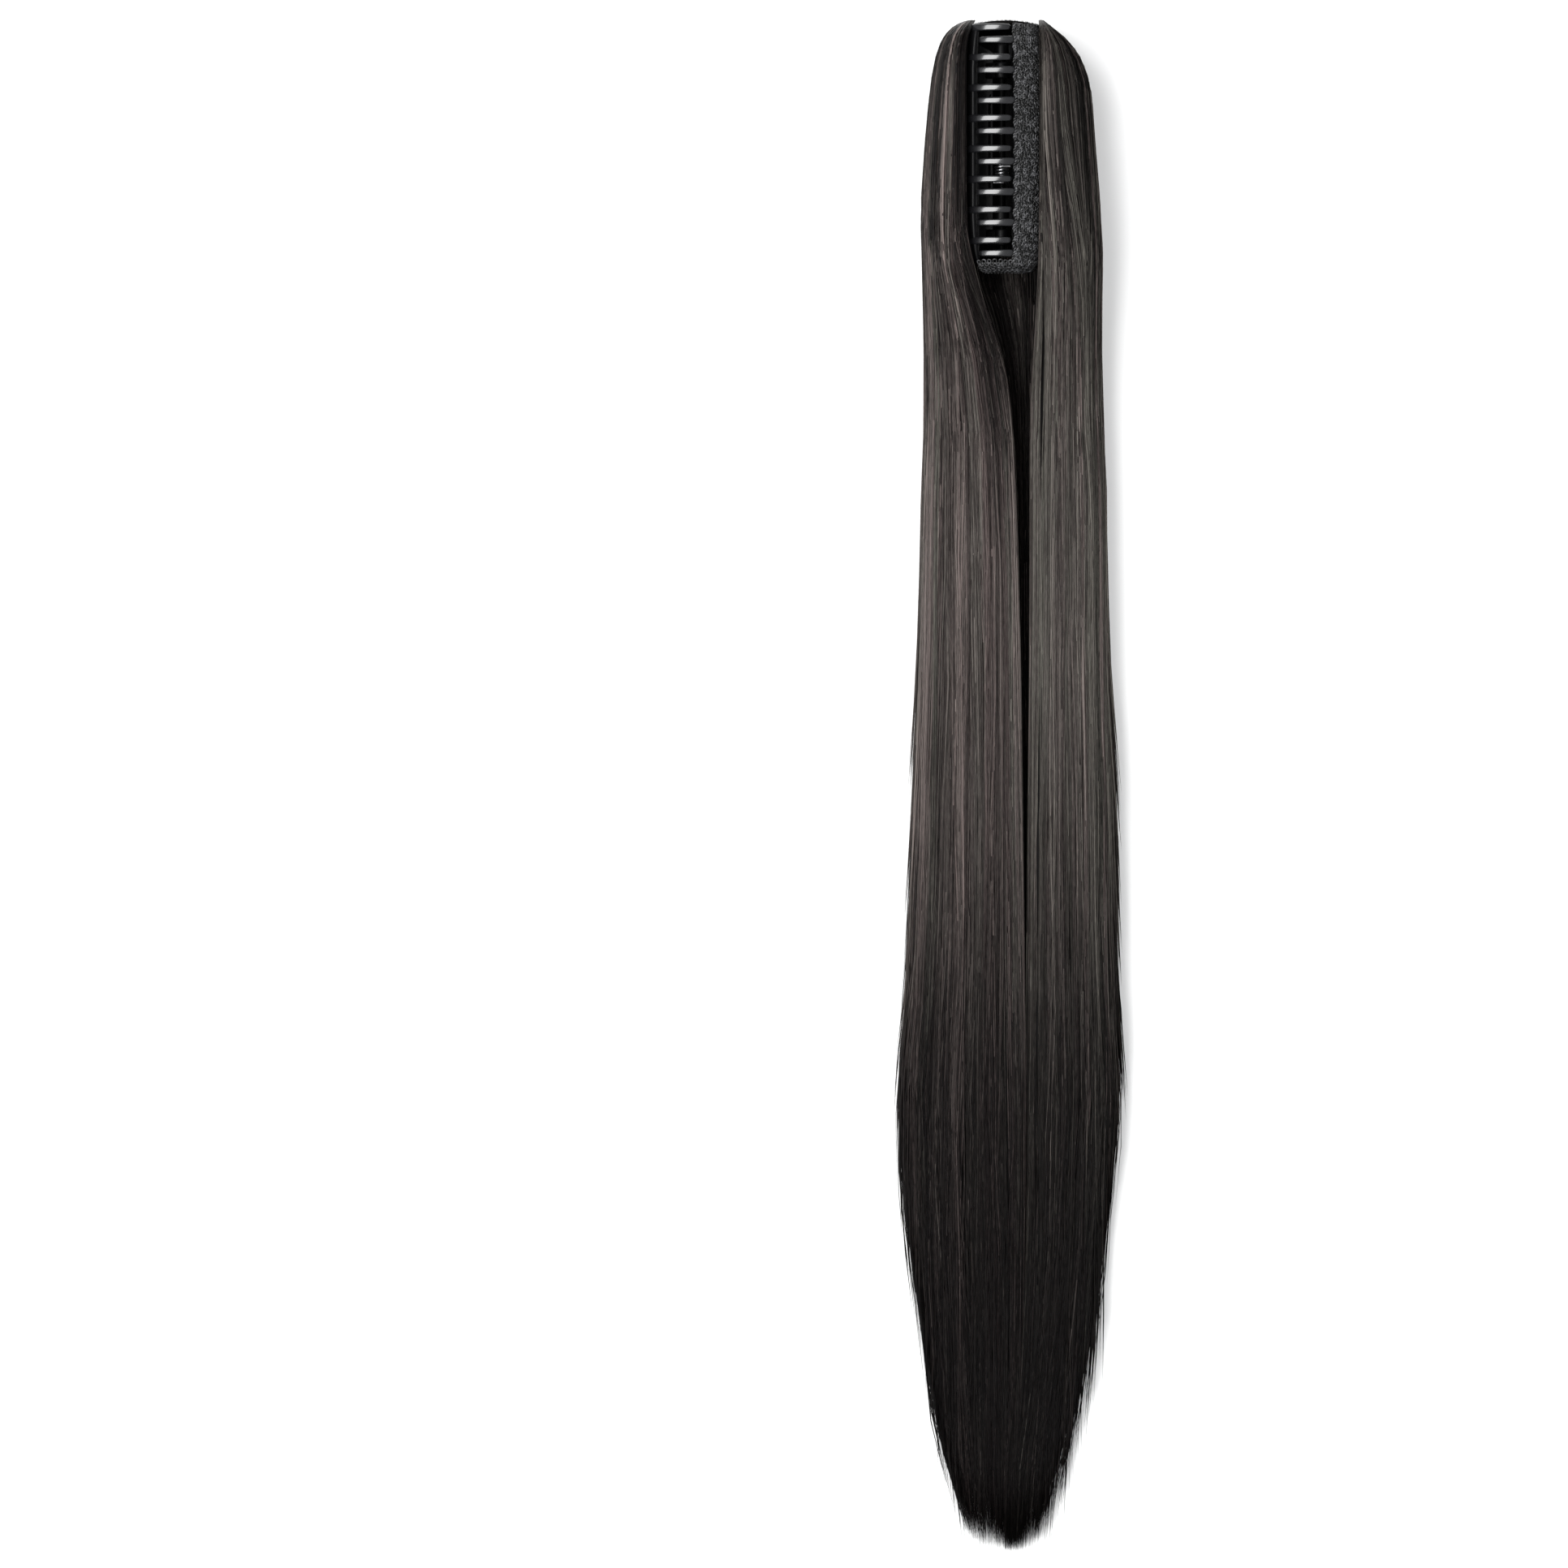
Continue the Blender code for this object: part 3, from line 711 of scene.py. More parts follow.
# Painted highlight and shade along the hair's length: y, tone. A lighter band over the middle
# stands in for the lamp's highlight, and the hair is darker towards the tips and at the claw's end.
SHEEN_AND_SHADE_ROWS = (
    (0.330, -0.06), (0.290, -0.01), (0.230, 0.05), (0.150, 0.13), (0.060, 0.15), (0.000, 0.08),
    (-0.050, 0.00), (-0.090, -0.10), (-0.120, -0.23), (-0.160, -0.27), (-0.210, -0.36),
    (-0.260, -0.42), (-0.330, -0.42),
)

# Lighter and darker locks: place across, half-width, from y, to y, tone. The dark ones at places
# across below 0, on the upright side by the claw, are painted shade.
LOCKS_AND_SHADE_LEFT = (
    (0.150, 0.055, 0.235, 0.315, 0.24),
    (-0.080, 0.110, 0.150, 0.345, -0.34),
    (0.055, 0.040, 0.225, 0.330, -0.18),
    (0.030, 0.090, 0.105, 0.235, -0.18),
    (0.320, 0.080, 0.215, 0.340, -0.14),
    (0.230, 0.030, 0.120, 0.240, -0.08),
    (0.420, 0.050, 0.020, 0.200, 0.10),
    (0.120, 0.030, 0.060, 0.190, 0.08),
    (0.440, 0.050, -0.140, 0.060, 0.12),
)
LOCKS_AND_SHADE_RIGHT = (
    (0.000, 0.040, 0.250, 0.318, 0.30),
    (-0.120, 0.060, 0.225, 0.335, -0.25),
    (0.070, 0.040, 0.150, 0.262, 0.20),
    (0.135, 0.035, 0.220, 0.330, -0.14),
    (0.300, 0.110, 0.225, 0.345, -0.24),
    (0.380, 0.060, 0.120, 0.250, -0.10),
    (0.030, 0.060, -0.020, 0.180, 0.08),
    (0.200, 0.030, -0.060, 0.120, 0.05),
)


@dataclass(frozen=True)
class HairForm:
    """The outer form of the hair: its outline, parting, crest and smooth layer at each y."""

    end_y: float = 0.3300
    tip_y: float = -0.3300
    widest_y: float = -0.1380
    blunt_y: float = -0.3160
    closing: float = 0.0085
    claw_x: float = -0.0037
    pin_z: float = 0.0245
    hollow_low_y: float = 0.2140
    hollow_round: float = 0.0080
    left_room: float = 0.0013
    right_room: float = 0.0032

    def read(self, column: str, y: Array) -> Array:
        """A column of the table, read smoothly at y."""
        table = np.array(HAIR_ROWS)[::-1]
        return smooth_read(y, table[:, 0], table[:, HAIR_COLUMNS.index(column)])

    def ends(self, x: Array) -> Array:
        """The y at which the hair's ends have drawn in to x, on either side."""
        rows = np.array(TIP_ROWS)[::-1]
        left = np.interp(-x, -rows[:, 1], rows[:, 0])
        right = np.interp(x, rows[:, 2], rows[:, 0])
        return np.where(x < -0.0015, left, right)

    def drawn_in(self, y: Array, low: float, taper: float) -> Array:
        """How much of its width a ground keeps below the hair's widest place: it tapers with the
        root of the way down, and closes with the fifth power of the way at its lower end.

        Args:
            y: places along the hair.
            low: the ground's lower end.
            taper: the share that the taper takes off.

        Returns:
            Shares of the width.
        """
        past = np.clip((self.widest_y - y) / (self.widest_y - low), 0, 1)
        return np.sqrt(np.clip(1 - past**5, 0.004, 1)) * (1 - taper * np.sqrt(past))

    def light(self, y: Array) -> Array:
        """The tone added at y: a painted highlight band over the middle of the length, darker
        towards the tips.
        """
        rows = np.array(SHEEN_AND_SHADE_ROWS)[::-1]
        return np.interp(y, rows[:, 0], rows[:, 1])

    def locks(self, side: Side, s: Array, y: Array) -> Array:
        """The tone of the lighter and darker locks, and of the painted shade on the upright side by
        the claw: each a bell across, faded at both ends.

        Args:
            side: the side of the parting.
            s: place across the lock.
            y: place along it, in the same shape.

        Returns:
            The tone to add.
        """
        total = np.zeros_like(y)
        for place, half, low, high, tone in LOCKS_AND_SHADE_LEFT if side is Side.LEFT else LOCKS_AND_SHADE_RIGHT:
            across = np.exp(-(((s - place) / half) ** 2))
            fade = np.clip((y - low) / 0.045, 0, 1) * np.clip((high - y) / 0.020, 0, 1)
            total += tone * across * fade
        return total

    def hollow(self, side: Side, y: Array) -> Array:
        """The reach of the claw's hollow from the pin: the claw's arched back plus its room,
        closed with a quarter circle at the lower end, and 0 below it.

        Args:
            side: the side of the parting.
            y: where to read.

        Returns:
            The reach at each y.
        """
        room = self.left_room if side is Side.LEFT else self.right_room
        reach = Claw.radius - Claw.arch(y) + room
        depth = np.clip((self.hollow_low_y + self.hollow_round - y) / self.hollow_round, 0, 1)
        reach = reach - self.hollow_round * (1 - np.sqrt(1 - depth**2))
        return np.where(y < self.hollow_low_y, 0.0, reach)


# Shares of a strand's length where it has its rings, closer together over the claw's end, and
# how thick it is at each: it thins to a point over the last of its length.
RINGS = np.array(
    (0, 0.0018, 0.0050, 0.0100, 0.0180, 0.0300, 0.0480, 0.0750, 0.1100, 0.1550, 0.2100, 0.2750,
     0.3500, 0.4350, 0.5250, 0.6200, 0.7150, 0.8050, 0.8850, 0.9500, 1.0)
)
LOCK_TAIL = np.clip((1 - RINGS) / 0.06, 0.04, 1)
LAYER_TAIL = np.clip((1 - RINGS) / 0.07, 0.04, 1)


@dataclass
class Bundles:
    """The bundles of one set of strands: each array has one value a bundle."""

    centre: Array
    reach: Array
    height: Array
    tone: Array
    warmth: Array
    late: Array
    lean: Array


@dataclass(frozen=True)
class StrandHabits:
    """How the strands of a side lock vary."""

    # Bundles, with pairs as least and most: how far each is moved, its half-width, height and
    # spreads of colour, which share holds late starters, up to which part of the lock they lean,
    # and by how much of the lean.
    shift: float = 0.012
    reach: Pair = (0.014, 0.036)
    height: Pair = (0.0003, 0.0014)
    tone_spread: float = 0.15
    warmth_spread: float = 0.24
    late_share: float = 0.25
    leaning_to: float = 0.30
    lean: Pair = (0.3, 1.0)
    # Ends: how frayed, how far past the outline, from which fall on farther, how far up layered
    # ones end, how far past the tip the lowest may be and how much that varies, the highest end.
    fray: float = 0.010
    past: float = 0.008
    far_fall: float = 0.6
    layered_up: float = 0.16
    tip_play: Pair = (0.0030, 0.0060)
    highest: float = 0.02
    # Paths: how much a bundle drifts and opens, and a strand's own wander and how it grows.
    drift: float = 0.016
    opening: float = 0.35
    wander: Pair = (0.0045, 0.010)
    # Tones: a strand's middle and spread, how much darker a bundle's rims are as painted shade in
    # the grooves between bundles, and the wander.
    tone: float = 0.50
    spread: float = 0.11
    rim_shade: float = 0.14
    tone_wander: float = 0.13
    hue_spread: float = 0.12


@dataclass
class SideLock:
    """A side lock: a hollowed ground darkened as painted shade, and ridged bundles of strands over
    it.
    """

    side: Side
    form: HairForm
    seed: int
    hue: float = 0.5
    bundles: int = 46
    strands: int = 1250
    lean: float = 0.0
    # The section: the places of its parts, the gap under it, the share of its height where it is
    # widest, the roll of its corner (of the width, of the height, at most), and its roundness.
    corner: float = 0.10
    upright: float = 0.42
    gap: float = 0.0004
    overhang: float = 0.0008
    waist: float = 0.42
    roll: Point = (0.16, 0.3, 0.0022)
    squareness: float = 0.85
    ease: float = 1.3
    tuck: float = 0.10
    # The ground: how deep it lies under the skin, on its upright side, and more over the claw.
    ground_depth: float = 0.0009
    wall_depth: float = 0.0002
    end_depth: float = 0.0006
    # The strands: their range across, the bundles' mean tone, where late ones start, which share
    # hangs loose or is layered, how far layered ones stand off, and their least height.
    spread: tuple[float, float] = (-0.36, 0.86)
    mean_tone: float = 0.48
    late_from: tuple[float, float] = (0.16, 0.31)
    loose_share: float = 0.21
    layered_share: float = 0.25
    flare: float = 0.0042
    lowest: float = 0.0006
    habits: StrandHabits = StrandHabits()

    def skin(self, s: Array, y: Array, grounded: bool = False) -> tuple[Array, Array]:
        """The lock's surface, and the direction out of it.

        s is -0.42 at the foot of the upright side, -0.1 to 0 round its top corner, and runs to 1
        over the back.

        Args:
            s: place across the lock.
            y: place along it, in the same shape.
            grounded: whether the outside stops on the smooth layer, or hangs over its edge.

        Returns:
            Points and unit directions, each with a last axis of 3.
        """
        form = self.form
        inner = form.read("in_" + self.side.word, y)
        outer = form.read(self.side.word, y)
        crest = form.read("crest", y)
        base = form.read("layer", y) + self.gap
        width = outer - inner
        middle = base + self.waist * (crest - base)
        across, up, most = self.roll
        roll = np.minimum(np.minimum(np.abs(width) * across, (crest - base) * up), most)
        over = np.sign(width) * roll
        foot = base if grounded else np.minimum(base, self.overhang)
        x, z = self.back(np.clip(s, 0, 1), inner + over, width - over, (crest, middle, foot))
        bend = np.clip(-s / self.corner, 0, 1) * np.pi / 2
        x = np.where(s < 0, inner + over * (1 - np.sin(bend)), x)
        z = np.where(s < 0, crest - roll * (1 - np.cos(bend)), z)
        down = np.clip((-s - self.corner) / (self.upright - self.corner), 0, 1)
        low = crest - roll - down * (crest - roll - base)
        z = np.where(s < -self.corner, low, z)
        x = np.where(s < -self.corner, self.inner_wall(low, y), x)
        x, z = self.rounded_end(x, z, y, (inner + outer) / 2, base + 0.55 * (crest - base))
        out = np.stack([(x - (inner + 0.45 * width)) * 0.7, np.zeros_like(x), z - middle], -1)
        out /= np.linalg.norm(out, axis=-1, keepdims=True) + 1e-9
        return np.stack([x, y, z], -1), out

    def back(
        self, s: Array, start: Array, width: Array, heights: tuple[Array, Array, Array]
    ) -> tuple[Array, Array]:
        """The section over the back: one quarter of a superellipse from the crest out to the
        waist, and another from there down to the foot, tucked in a little. Points lie closer
        together at the crest and the foot.

        Args:
            s: 0 at the crest to 1 at the foot.
            start: the crest's x.
            width: from there to the outside.
            heights: the crest's, the waist's and the foot's.

        Returns:
            x and z.
        """
        crest, middle, foot = heights
        rise = 0.5 * (2 * s) ** self.ease
        share = np.where(s < 0.5, rise, 1 - 0.5 * (2 - 2 * s) ** self.ease)
        turn = np.pi * (0.5 - share)
        reach = np.abs(np.cos(turn)) ** self.squareness
        height = np.sign(turn) * np.abs(np.sin(turn)) ** self.squareness
        under = np.clip((share - 0.5) / 0.5, 0, 1)
        reach = np.where(share > 0.5, 1 - self.tuck * under**2, reach)
        z = middle + np.where(turn > 0, crest - middle, middle - foot) * height
        return start + width * reach, z

    def inner_wall(self, z: Array, y: Array) -> Array:
        """The x of the upright side at a height: the parting, or the claw's hollow where that
        circle round the pin reaches further out.

        Args:
            z: heights.
            y: places along the lock.

        Returns:
            The x values.
        """
        inner = self.form.read("in_" + self.side.word, y)
        rise = z - self.form.pin_z
        circle = np.sqrt(np.clip(self.form.hollow(self.side, y) ** 2 - rise**2, 0, None))
        wall = self.form.claw_x + self.side.value * circle
        deeper = np.maximum(wall * self.side.value, inner * self.side.value)
        return np.where(circle > 0, deeper * self.side.value, inner)

    def rounded_end(
        self, x: Array, z: Array, y: Array, middle_x: Array, middle_z: Array
    ) -> tuple[Array, Array]:
        """Close the lock over the claw's end: the section shrinks to its middle like the end of
        an ellipse over the last few millimetres, more in height than across.

        Args:
            x: the section's x values.
            z: its heights.
            y: places along the lock.
            middle_x: the section's middle across.
            middle_z: the section's middle in height.

        Returns:
            The moved x and z.
        """
        into = np.clip((y - (self.form.end_y - self.form.closing)) / self.form.closing, 0, 1)
        keep = 0.45 + 0.55 * np.sqrt(1 - into**2)
        slim = 0.80 + 0.20 * np.sqrt(1 - into**2)
        return middle_x + (x - middle_x) * slim, middle_z + (z - middle_z) * keep

    def ground(self) -> Surface:
        """The lock's closed ground: its skin drawn in a little, and its inner wall, as rings.

        Returns:
            The surface.
        """
        form = self.form
        top, low = form.end_y - 0.0026, form.tip_y + 0.022
        near = top - 0.135 * np.linspace(0, 1, 64) ** 1.3
        y = np.concatenate([near, np.linspace(near[-1], low, 60)[1:]])
        s = np.concatenate([np.linspace(-self.upright, -self.corner, 14)[:-1],
                            np.linspace(-self.corner, 0, 5)[:-1],
                            np.linspace(0, 1, 46)])
        grid_s, grid_y = np.meshgrid(s, y)
        points, out = self.skin(grid_s, grid_y, grounded=True)
        shy = np.where(grid_s < -self.corner, self.wall_depth, self.ground_depth)
        shy = shy + self.end_depth * np.clip((grid_y - 0.315) / 0.010, 0, 1)
        thin = form.read("crest", grid_y) - form.read("layer", grid_y)
        points = points - out * np.minimum(shy, thin * 0.2)[..., None]
        shrink = form.drawn_in(grid_y, low, 0.24)
        inner = form.read("in_" + self.side.word, grid_y)
        points[..., 0] = inner + (points[..., 0] - inner) * shrink
        base = form.read("layer", grid_y)
        points[..., 2] = base + (points[..., 2] - base) * (0.4 + 0.6 * shrink)
        rng = np.random.default_rng(self.seed + 900)
        # The ground's low tone is painted shade, for the deep hair seen between the strands.
        tone = 0.10 + 0.05 * wander(rng, grid_y.T, (0.12, 0.05)).T
        points = points if self.side is Side.LEFT else points[:, ::-1]
        uv = np.stack([grid_s * 60, grid_y], -1)
        return lofted(points, uv, {"tone": tone, "warmth": np.full(tone.shape, 0.5)})

    def follow(self, s: Array, y: Array, loose: Array) -> tuple[Array, Array]:
        """The skin, but where the outline draws in to the tip a strand keeps to its place above
        as much as it is loose.

        Args:
            s: place across the lock.
            y: place along it, in the same shape.
            loose: 0 for a strand that draws in with the outline, 1 for one that hangs straight.

        Returns:
            Points and unit directions, each with a last axis of 3.
        """
        points, out = self.skin(s, np.maximum(y, self.form.blunt_y))
        points[..., 1] = y
        hang, _ = self.skin(s, np.maximum(y, self.form.widest_y))
        points[..., 0] += loose * (hang[..., 0] - points[..., 0])
        return points, out

    def bundle_up(self, rng: np.random.Generator) -> Bundles:
        """Spread the bundles evenly over the lock, each moved a little, with random sizes and
        tones. Those near the crest lean.

        Args:
            rng: the seeded generator.

        Returns:
            The bundles.
        """
        count, habits = self.bundles, self.habits
        shift = rng.uniform(-habits.shift, habits.shift, count)
        centre = np.linspace(*self.spread, count) + shift
        leaning = centre < habits.leaning_to
        return Bundles(
            centre=centre,
            reach=rng.uniform(*habits.reach, count),
            height=rng.uniform(*habits.height, count),
            tone=rng.normal(self.mean_tone, habits.tone_spread, count),
            warmth=np.clip(rng.normal(self.hue, habits.warmth_spread, count), 0, 1),
            late=rng.random(count) < habits.late_share,
            lean=np.where(leaning, rng.uniform(*habits.lean, count) * self.lean, 0.0),
        )

    def ends(
        self, rng: np.random.Generator, place: Array, fall: Array
    ) -> tuple[Array, Array]:
        """Where the strands end: on the outline of the tips at the x that the strand itself has
        there, found by stepping, and then frayed. Layered strands end higher up.

        Args:
            rng: the seeded generator.
            place: each strand's place across the lock.
            fall: how straight each one hangs.

        Returns:
            Each end's y, and whether the strand is layered.
        """
        tip, count, habits = self.form.tip_y, len(place), self.habits
        last = np.full(count, tip)
        for _ in range(16):
            last = self.form.ends(self.follow(place, last, fall)[0][..., 0])
        layered = rng.random(count) < self.layered_share
        last = last + np.abs(rng.normal(0, habits.fray, count))
        last = last - habits.past - habits.past * (fall > habits.far_fall)
        last = last + np.where(layered, rng.uniform(0, habits.layered_up, count), 0)
        under, play = habits.tip_play
        return np.clip(last, tip - under + rng.uniform(0, play, count), habits.highest), layered

    def paths(
        self, rng: np.random.Generator, drift: Array, lean: Array, off: Array, y: Array
    ) -> Array:
        """The way of each strand across the lock: its bundle's way, its place in the bundle,
        which widens and narrows, its own small wander, which grows to the tips, and its lean.
        Over the claw it keeps to the lock's top corner.

        Args:
            rng: the seeded generator.
            drift: the bundle's place across at each ring.
            lean: how far the bundle leans.
            off: the strand's place in its bundle.
            y: each ring's y, strands by rings.

        Returns:
            Places across, in the shape of y.
        """
        loose = 1 + self.habits.opening * wander(rng, y, (0.30, 0.12))
        slant = np.clip((0.31 - y) / 0.13, 0, 1)
        slant = slant * slant * (3 - 2 * slant) - 0.5
        root, more = self.habits.wander
        own = (root + more * np.clip(-y / 0.3, 0, 1)) * wander(rng, y, (0.11, 0.045))
        s = drift + off[:, None] * loose + own + lean[:, None] * slant
        rim = self.over_claw(y)
        return np.where(s < -0.02, s * (1 - rim) + np.maximum(s, -0.085) * rim, s)

    def over_claw(self, y: Array) -> Array:
        """0 below the claw, 1 beside it, and even between."""
        return np.clip((y - 0.17) / 0.04, 0, 1)

    def tones(
        self, rng: np.random.Generator, bundle: Array, off: Array, s: Array, y: Array
    ) -> Array:
        """Each ring's tone: its bundle's, which counts for more beside the claw, the strand's
        own, darker at the bundle's rims as painted shade in the grooves between bundles, a wander
        along it, and the tones of the whole hair, which hold its painted highlight and shade.

        Args:
            rng: the seeded generator.
            bundle: the tone of each strand's bundle.
            off: each strand's place in its bundle.
            s: places across the lock, strands by rings.
            y: places along it, in the same shape.

        Returns:
            Tones from 0 to 1.
        """
        near = np.clip((y - 0.19) / 0.07, 0, 1)
        habits = self.habits
        own = habits.tone + rng.normal(0, habits.spread, len(off)) - habits.rim_shade * off**2
        tone = (bundle - self.mean_tone)[:, None] * (0.36 + 0.75 * near) + own[:, None]
        tone = tone + habits.tone_wander * wander(rng, y, (0.14, 0.05))
        return np.clip(tone + self.form.light(y) + self.form.locks(self.side, s, y), 0, 1)

    def dress(self, fine: float, raised: float, seed: int) -> Surface:
        """Strands in bundles. Each strand keeps its place in its bundle, which is thickest in the
        middle, and both drift along the lock. Ends follow the outline, with random lengths.

        Args:
            fine: the mean half-width of a strand.
            raised: how far above the skin the strands lie.
            seed: the generator's seed.

        Returns:
            The strands as one surface.
        """
        rng = np.random.default_rng(seed)
        form, count = self.form, self.strands
        bundles = self.bundle_up(rng)
        pick = rng.choice(self.bundles, count, p=bundles.reach / bundles.reach.sum())
        place = rng.triangular(-1, 0, 1, count)
        off = place * bundles.reach[pick]
        first = form.end_y - 0.0010 - rng.uniform(0, 0.0018, count)
        late = bundles.late[pick] & (rng.random(count) < 0.7)
        first = np.where(late, rng.uniform(*self.late_from, count), first)
        loose = rng.random(count) < self.loose_share
        fall = np.where(loose, rng.uniform(0.45, 1.0, count), rng.beta(1.1, 2.2, count) * 0.85)
        last, layered = self.ends(rng, bundles.centre[pick] + off, fall)
        y = first[:, None] + (last - first)[:, None] * RINGS
        drift_rng = np.random.default_rng(seed + 1)
        drift = wander(drift_rng, np.repeat(y[:1], self.bundles, 0), (0.42, 0.17))
        drift = bundles.centre[pick][:, None] + self.habits.drift * drift[pick]
        s = self.paths(rng, drift, bundles.lean[pick], off, y)
        points, out = self.follow(s, y, fall[:, None])
        lift = raised + bundles.height[pick] * (1 - place**2) - rng.uniform(0, 0.0005, count)
        share = np.clip((form.read("crest", y) - form.read("layer", y)) / 0.012, 0.15, 1)
        lift = lift[:, None] * share * np.clip((form.end_y - y) / 0.004, 0.5, 1)
        lift = lift * (1 - 0.8 * self.over_claw(y) * (s < -0.02))
        points = points + out * lift[..., None]
        outside = np.clip((s[:, -1] - 0.20) / 0.1, 0, 1)
        flare = rng.uniform(0, self.flare, count) * layered * outside
        points[..., 0] += self.side.value * flare[:, None] * RINGS**6
        points[..., 2] = np.maximum(points[..., 2], self.lowest)
        radius = (fine * rng.uniform(0.6, 1.5, count))[:, None] * LOCK_TAIL
        tone = self.tones(rng, bundles.tone[pick], place, s, y)
        hue = rng.normal(0, self.habits.hue_spread, count)
        warmth = np.clip(bundles.warmth[pick] + hue, 0, 1)
        traits = {"tone": tone, "warmth": warmth[:, None] + 0 * y}
        return tubes(points, radius, radius * 0.8, 3, (1, 0, 0), traits=traits)

    def build(self, finishes: "Finishes") -> None:
        """Make the ground and both sets of strands, in the place of the CAD lock.

        Args:
            finishes: the materials.
        """
        name = "hair_" + self.side.word
        add_piece(name + "_ground", self.ground(), finishes.under, Body.HAIR, (name,))
        inner = self.dress(0.00030, -0.0003, self.seed)
        add_piece(name + "_strands", inner, finishes.hair, Body.HAIR)
        outer = self.dress(0.00020, 0.0001, self.seed + 40)
        add_piece(name + "_fine_strands", outer, finishes.hair, Body.HAIR)


@dataclass
class SmoothLayer:
    """The smooth layer that the hairpiece lies on, turned up round the claw's end."""

    form: HairForm
    seed: int = 77
    inset: float = 0.0012
    strands: int = 1100
    # Strands up to the first share lie in the parting, up to the second across the layer, and
    # the rest along both edges. Half the width over which the ends are read.
    shares: tuple[float, float] = (0.40, 0.62)
    half_width: float = 0.045
    # The turned-up pad, its foot, and the bend and the flat run of the strands that rise to it.
    flap_width: float = 0.0330
    flap_centre: float = -0.0025
    flap_bow: float = 0.0016
    flap_foot: float = 0.0040
    flap_top: float = 0.0296
    bend: float = 0.0060
    run: float = 0.016

    def skin(self, turn: Array, y: Array) -> Array:
        """The layer's rounded upper side at a turn from 0, its right side, to pi, its left.

        Args:
            turn: angle over the layer.
            y: place along it, in the same shape.

        Returns:
            Points.
        """
        form = self.form
        left = form.read("left", y) + self.inset
        right = form.read("right", y) - self.inset
        low = 0.0040 * np.clip((y - 0.3150) / (form.end_y - 0.3150), 0, 1) ** 2
        high = form.read("layer", y)
        x = (left + right) / 2 + (right - left) / 2 * np.cos(turn)
        z = low + 0.0003 + (high - low - 0.0003) * np.abs(np.sin(turn)) ** 0.35
        return np.stack([x, y, z], -1)

    def ground(self) -> Surface:
        """The layer's closed ground: its rounded upper side over a flat underside.

        Returns:
            The surface.
        """
        form = self.form
        y = np.concatenate([np.linspace(form.end_y - 0.0006, 0.300, 24),
                            np.linspace(0.298, form.tip_y + 0.014, 80)])
        turn = np.linspace(0, np.pi, 40)
        grid_turn, grid_y = np.meshgrid(turn, y)
        points = self.skin(grid_turn, grid_y)
        points[..., 2] = np.maximum(points[..., 2] - 0.0005, 0.0002)
        middle = points[..., 0].mean(1, keepdims=True)
        shrink = form.drawn_in(grid_y, y[-1], 0.22)
        points[..., 0] = middle + (points[..., 0] - middle) * 0.985 * shrink
        uv = np.stack([grid_turn * 20, grid_y], -1)
        return lofted(points[:, ::-1], uv, self.shade(grid_y.shape))

    def shade(self, shape: tuple[int, ...]) -> dict[str, Array]:
        """The traits of the layer's ground: even and dark, as painted shade between the strands."""
        return {"tone": np.full(shape, 0.14), "warmth": np.full(shape, 0.4)}

    def spans(self, rng: np.random.Generator) -> tuple[Array, Array, Array, Array]:
        """Where the strands lie over the layer, and from where to where they run.

        Args:
            rng: the seeded generator.

        Returns:
            Each strand's turn, its first and last y, and whether it lies in the parting.
        """
        form, count = self.form, self.strands
        in_parting, across = self.shares
        kind = rng.random(count)
        edge = rng.uniform(0.02, 0.75, count) ** 1.3
        gap = kind < in_parting
        wide = (kind >= in_parting) & (kind < across)
        turn = np.where(wide, np.arccos(rng.uniform(-0.97, 0.97, count)), edge)
        side = np.where(rng.random(count) < 0.5, 1.0, -1.0)
        turn = np.where(kind >= across, np.pi / 2 - side * (np.pi / 2 - edge), turn)
        first = form.end_y - 0.003 - rng.uniform(0, 0.006, count)
        first = np.where(gap, rng.uniform(0.205, 0.235, count), first)
        first = np.where(wide, rng.uniform(-0.12, 0.0, count), first)
        last = form.ends(np.cos(turn) * self.half_width)
        last = last + np.abs(rng.normal(0, 0.012, count)) - 0.005
        last = np.where(gap, form.tip_y + np.abs(rng.normal(0, 0.018, count)), last)
        return turn, first, np.maximum(last, form.tip_y - 0.0030), gap

    def dress(self) -> Surface:
        """Strands along the layer: in the parting, along both edges, and out to the tips.

        Returns:
            The strands as one surface.
        """
        rng = np.random.default_rng(self.seed)
        form, count = self.form, self.strands
        turn, first, last, gap = self.spans(rng)
        gap = gap[:, None]
        y = first[:, None] + (last - first)[:, None] * RINGS
        angle = turn[:, None] + 0.02 * wander(rng, y, (0.30, 0.11))
        points = self.skin(angle, y)
        hang = self.skin(angle, np.maximum(y, form.widest_y))
        points[..., 0] += rng.beta(1.1, 2.2, (count, 1)) * (hang[..., 0] - points[..., 0])
        spread = rng.uniform(0.0, 1.0, count)[:, None]
        past = np.clip((form.widest_y - y) / (form.widest_y - form.tip_y), 0, 1)
        low = form.read("in_left", y) - 0.0010 - 0.0060 * past
        high = form.read("in_right", y) + 0.0010 + 0.0060 * past
        parting = low + (high - low) * spread + 0.0012 * wander(rng, y, (0.30, 0.11))
        points[..., 0] = np.where(gap, parting, points[..., 0])
        top = form.read("layer", y) + rng.uniform(-0.0004, 0.0006, count)[:, None]
        points[..., 2] = np.where(gap, top, points[..., 2])
        points[..., 2] += rng.uniform(-0.0002, 0.0003, count)[:, None]
        points[..., 2] = np.maximum(points[..., 2], 0.0005)
        radius = (rng.uniform(0.00014, 0.00036, count))[:, None] * LAYER_TAIL
        tone = rng.normal(0.46, 0.14, count)[:, None] + 0.08 * wander(rng, y, (0.2, 0.07))
        tone = tone + form.light(y)
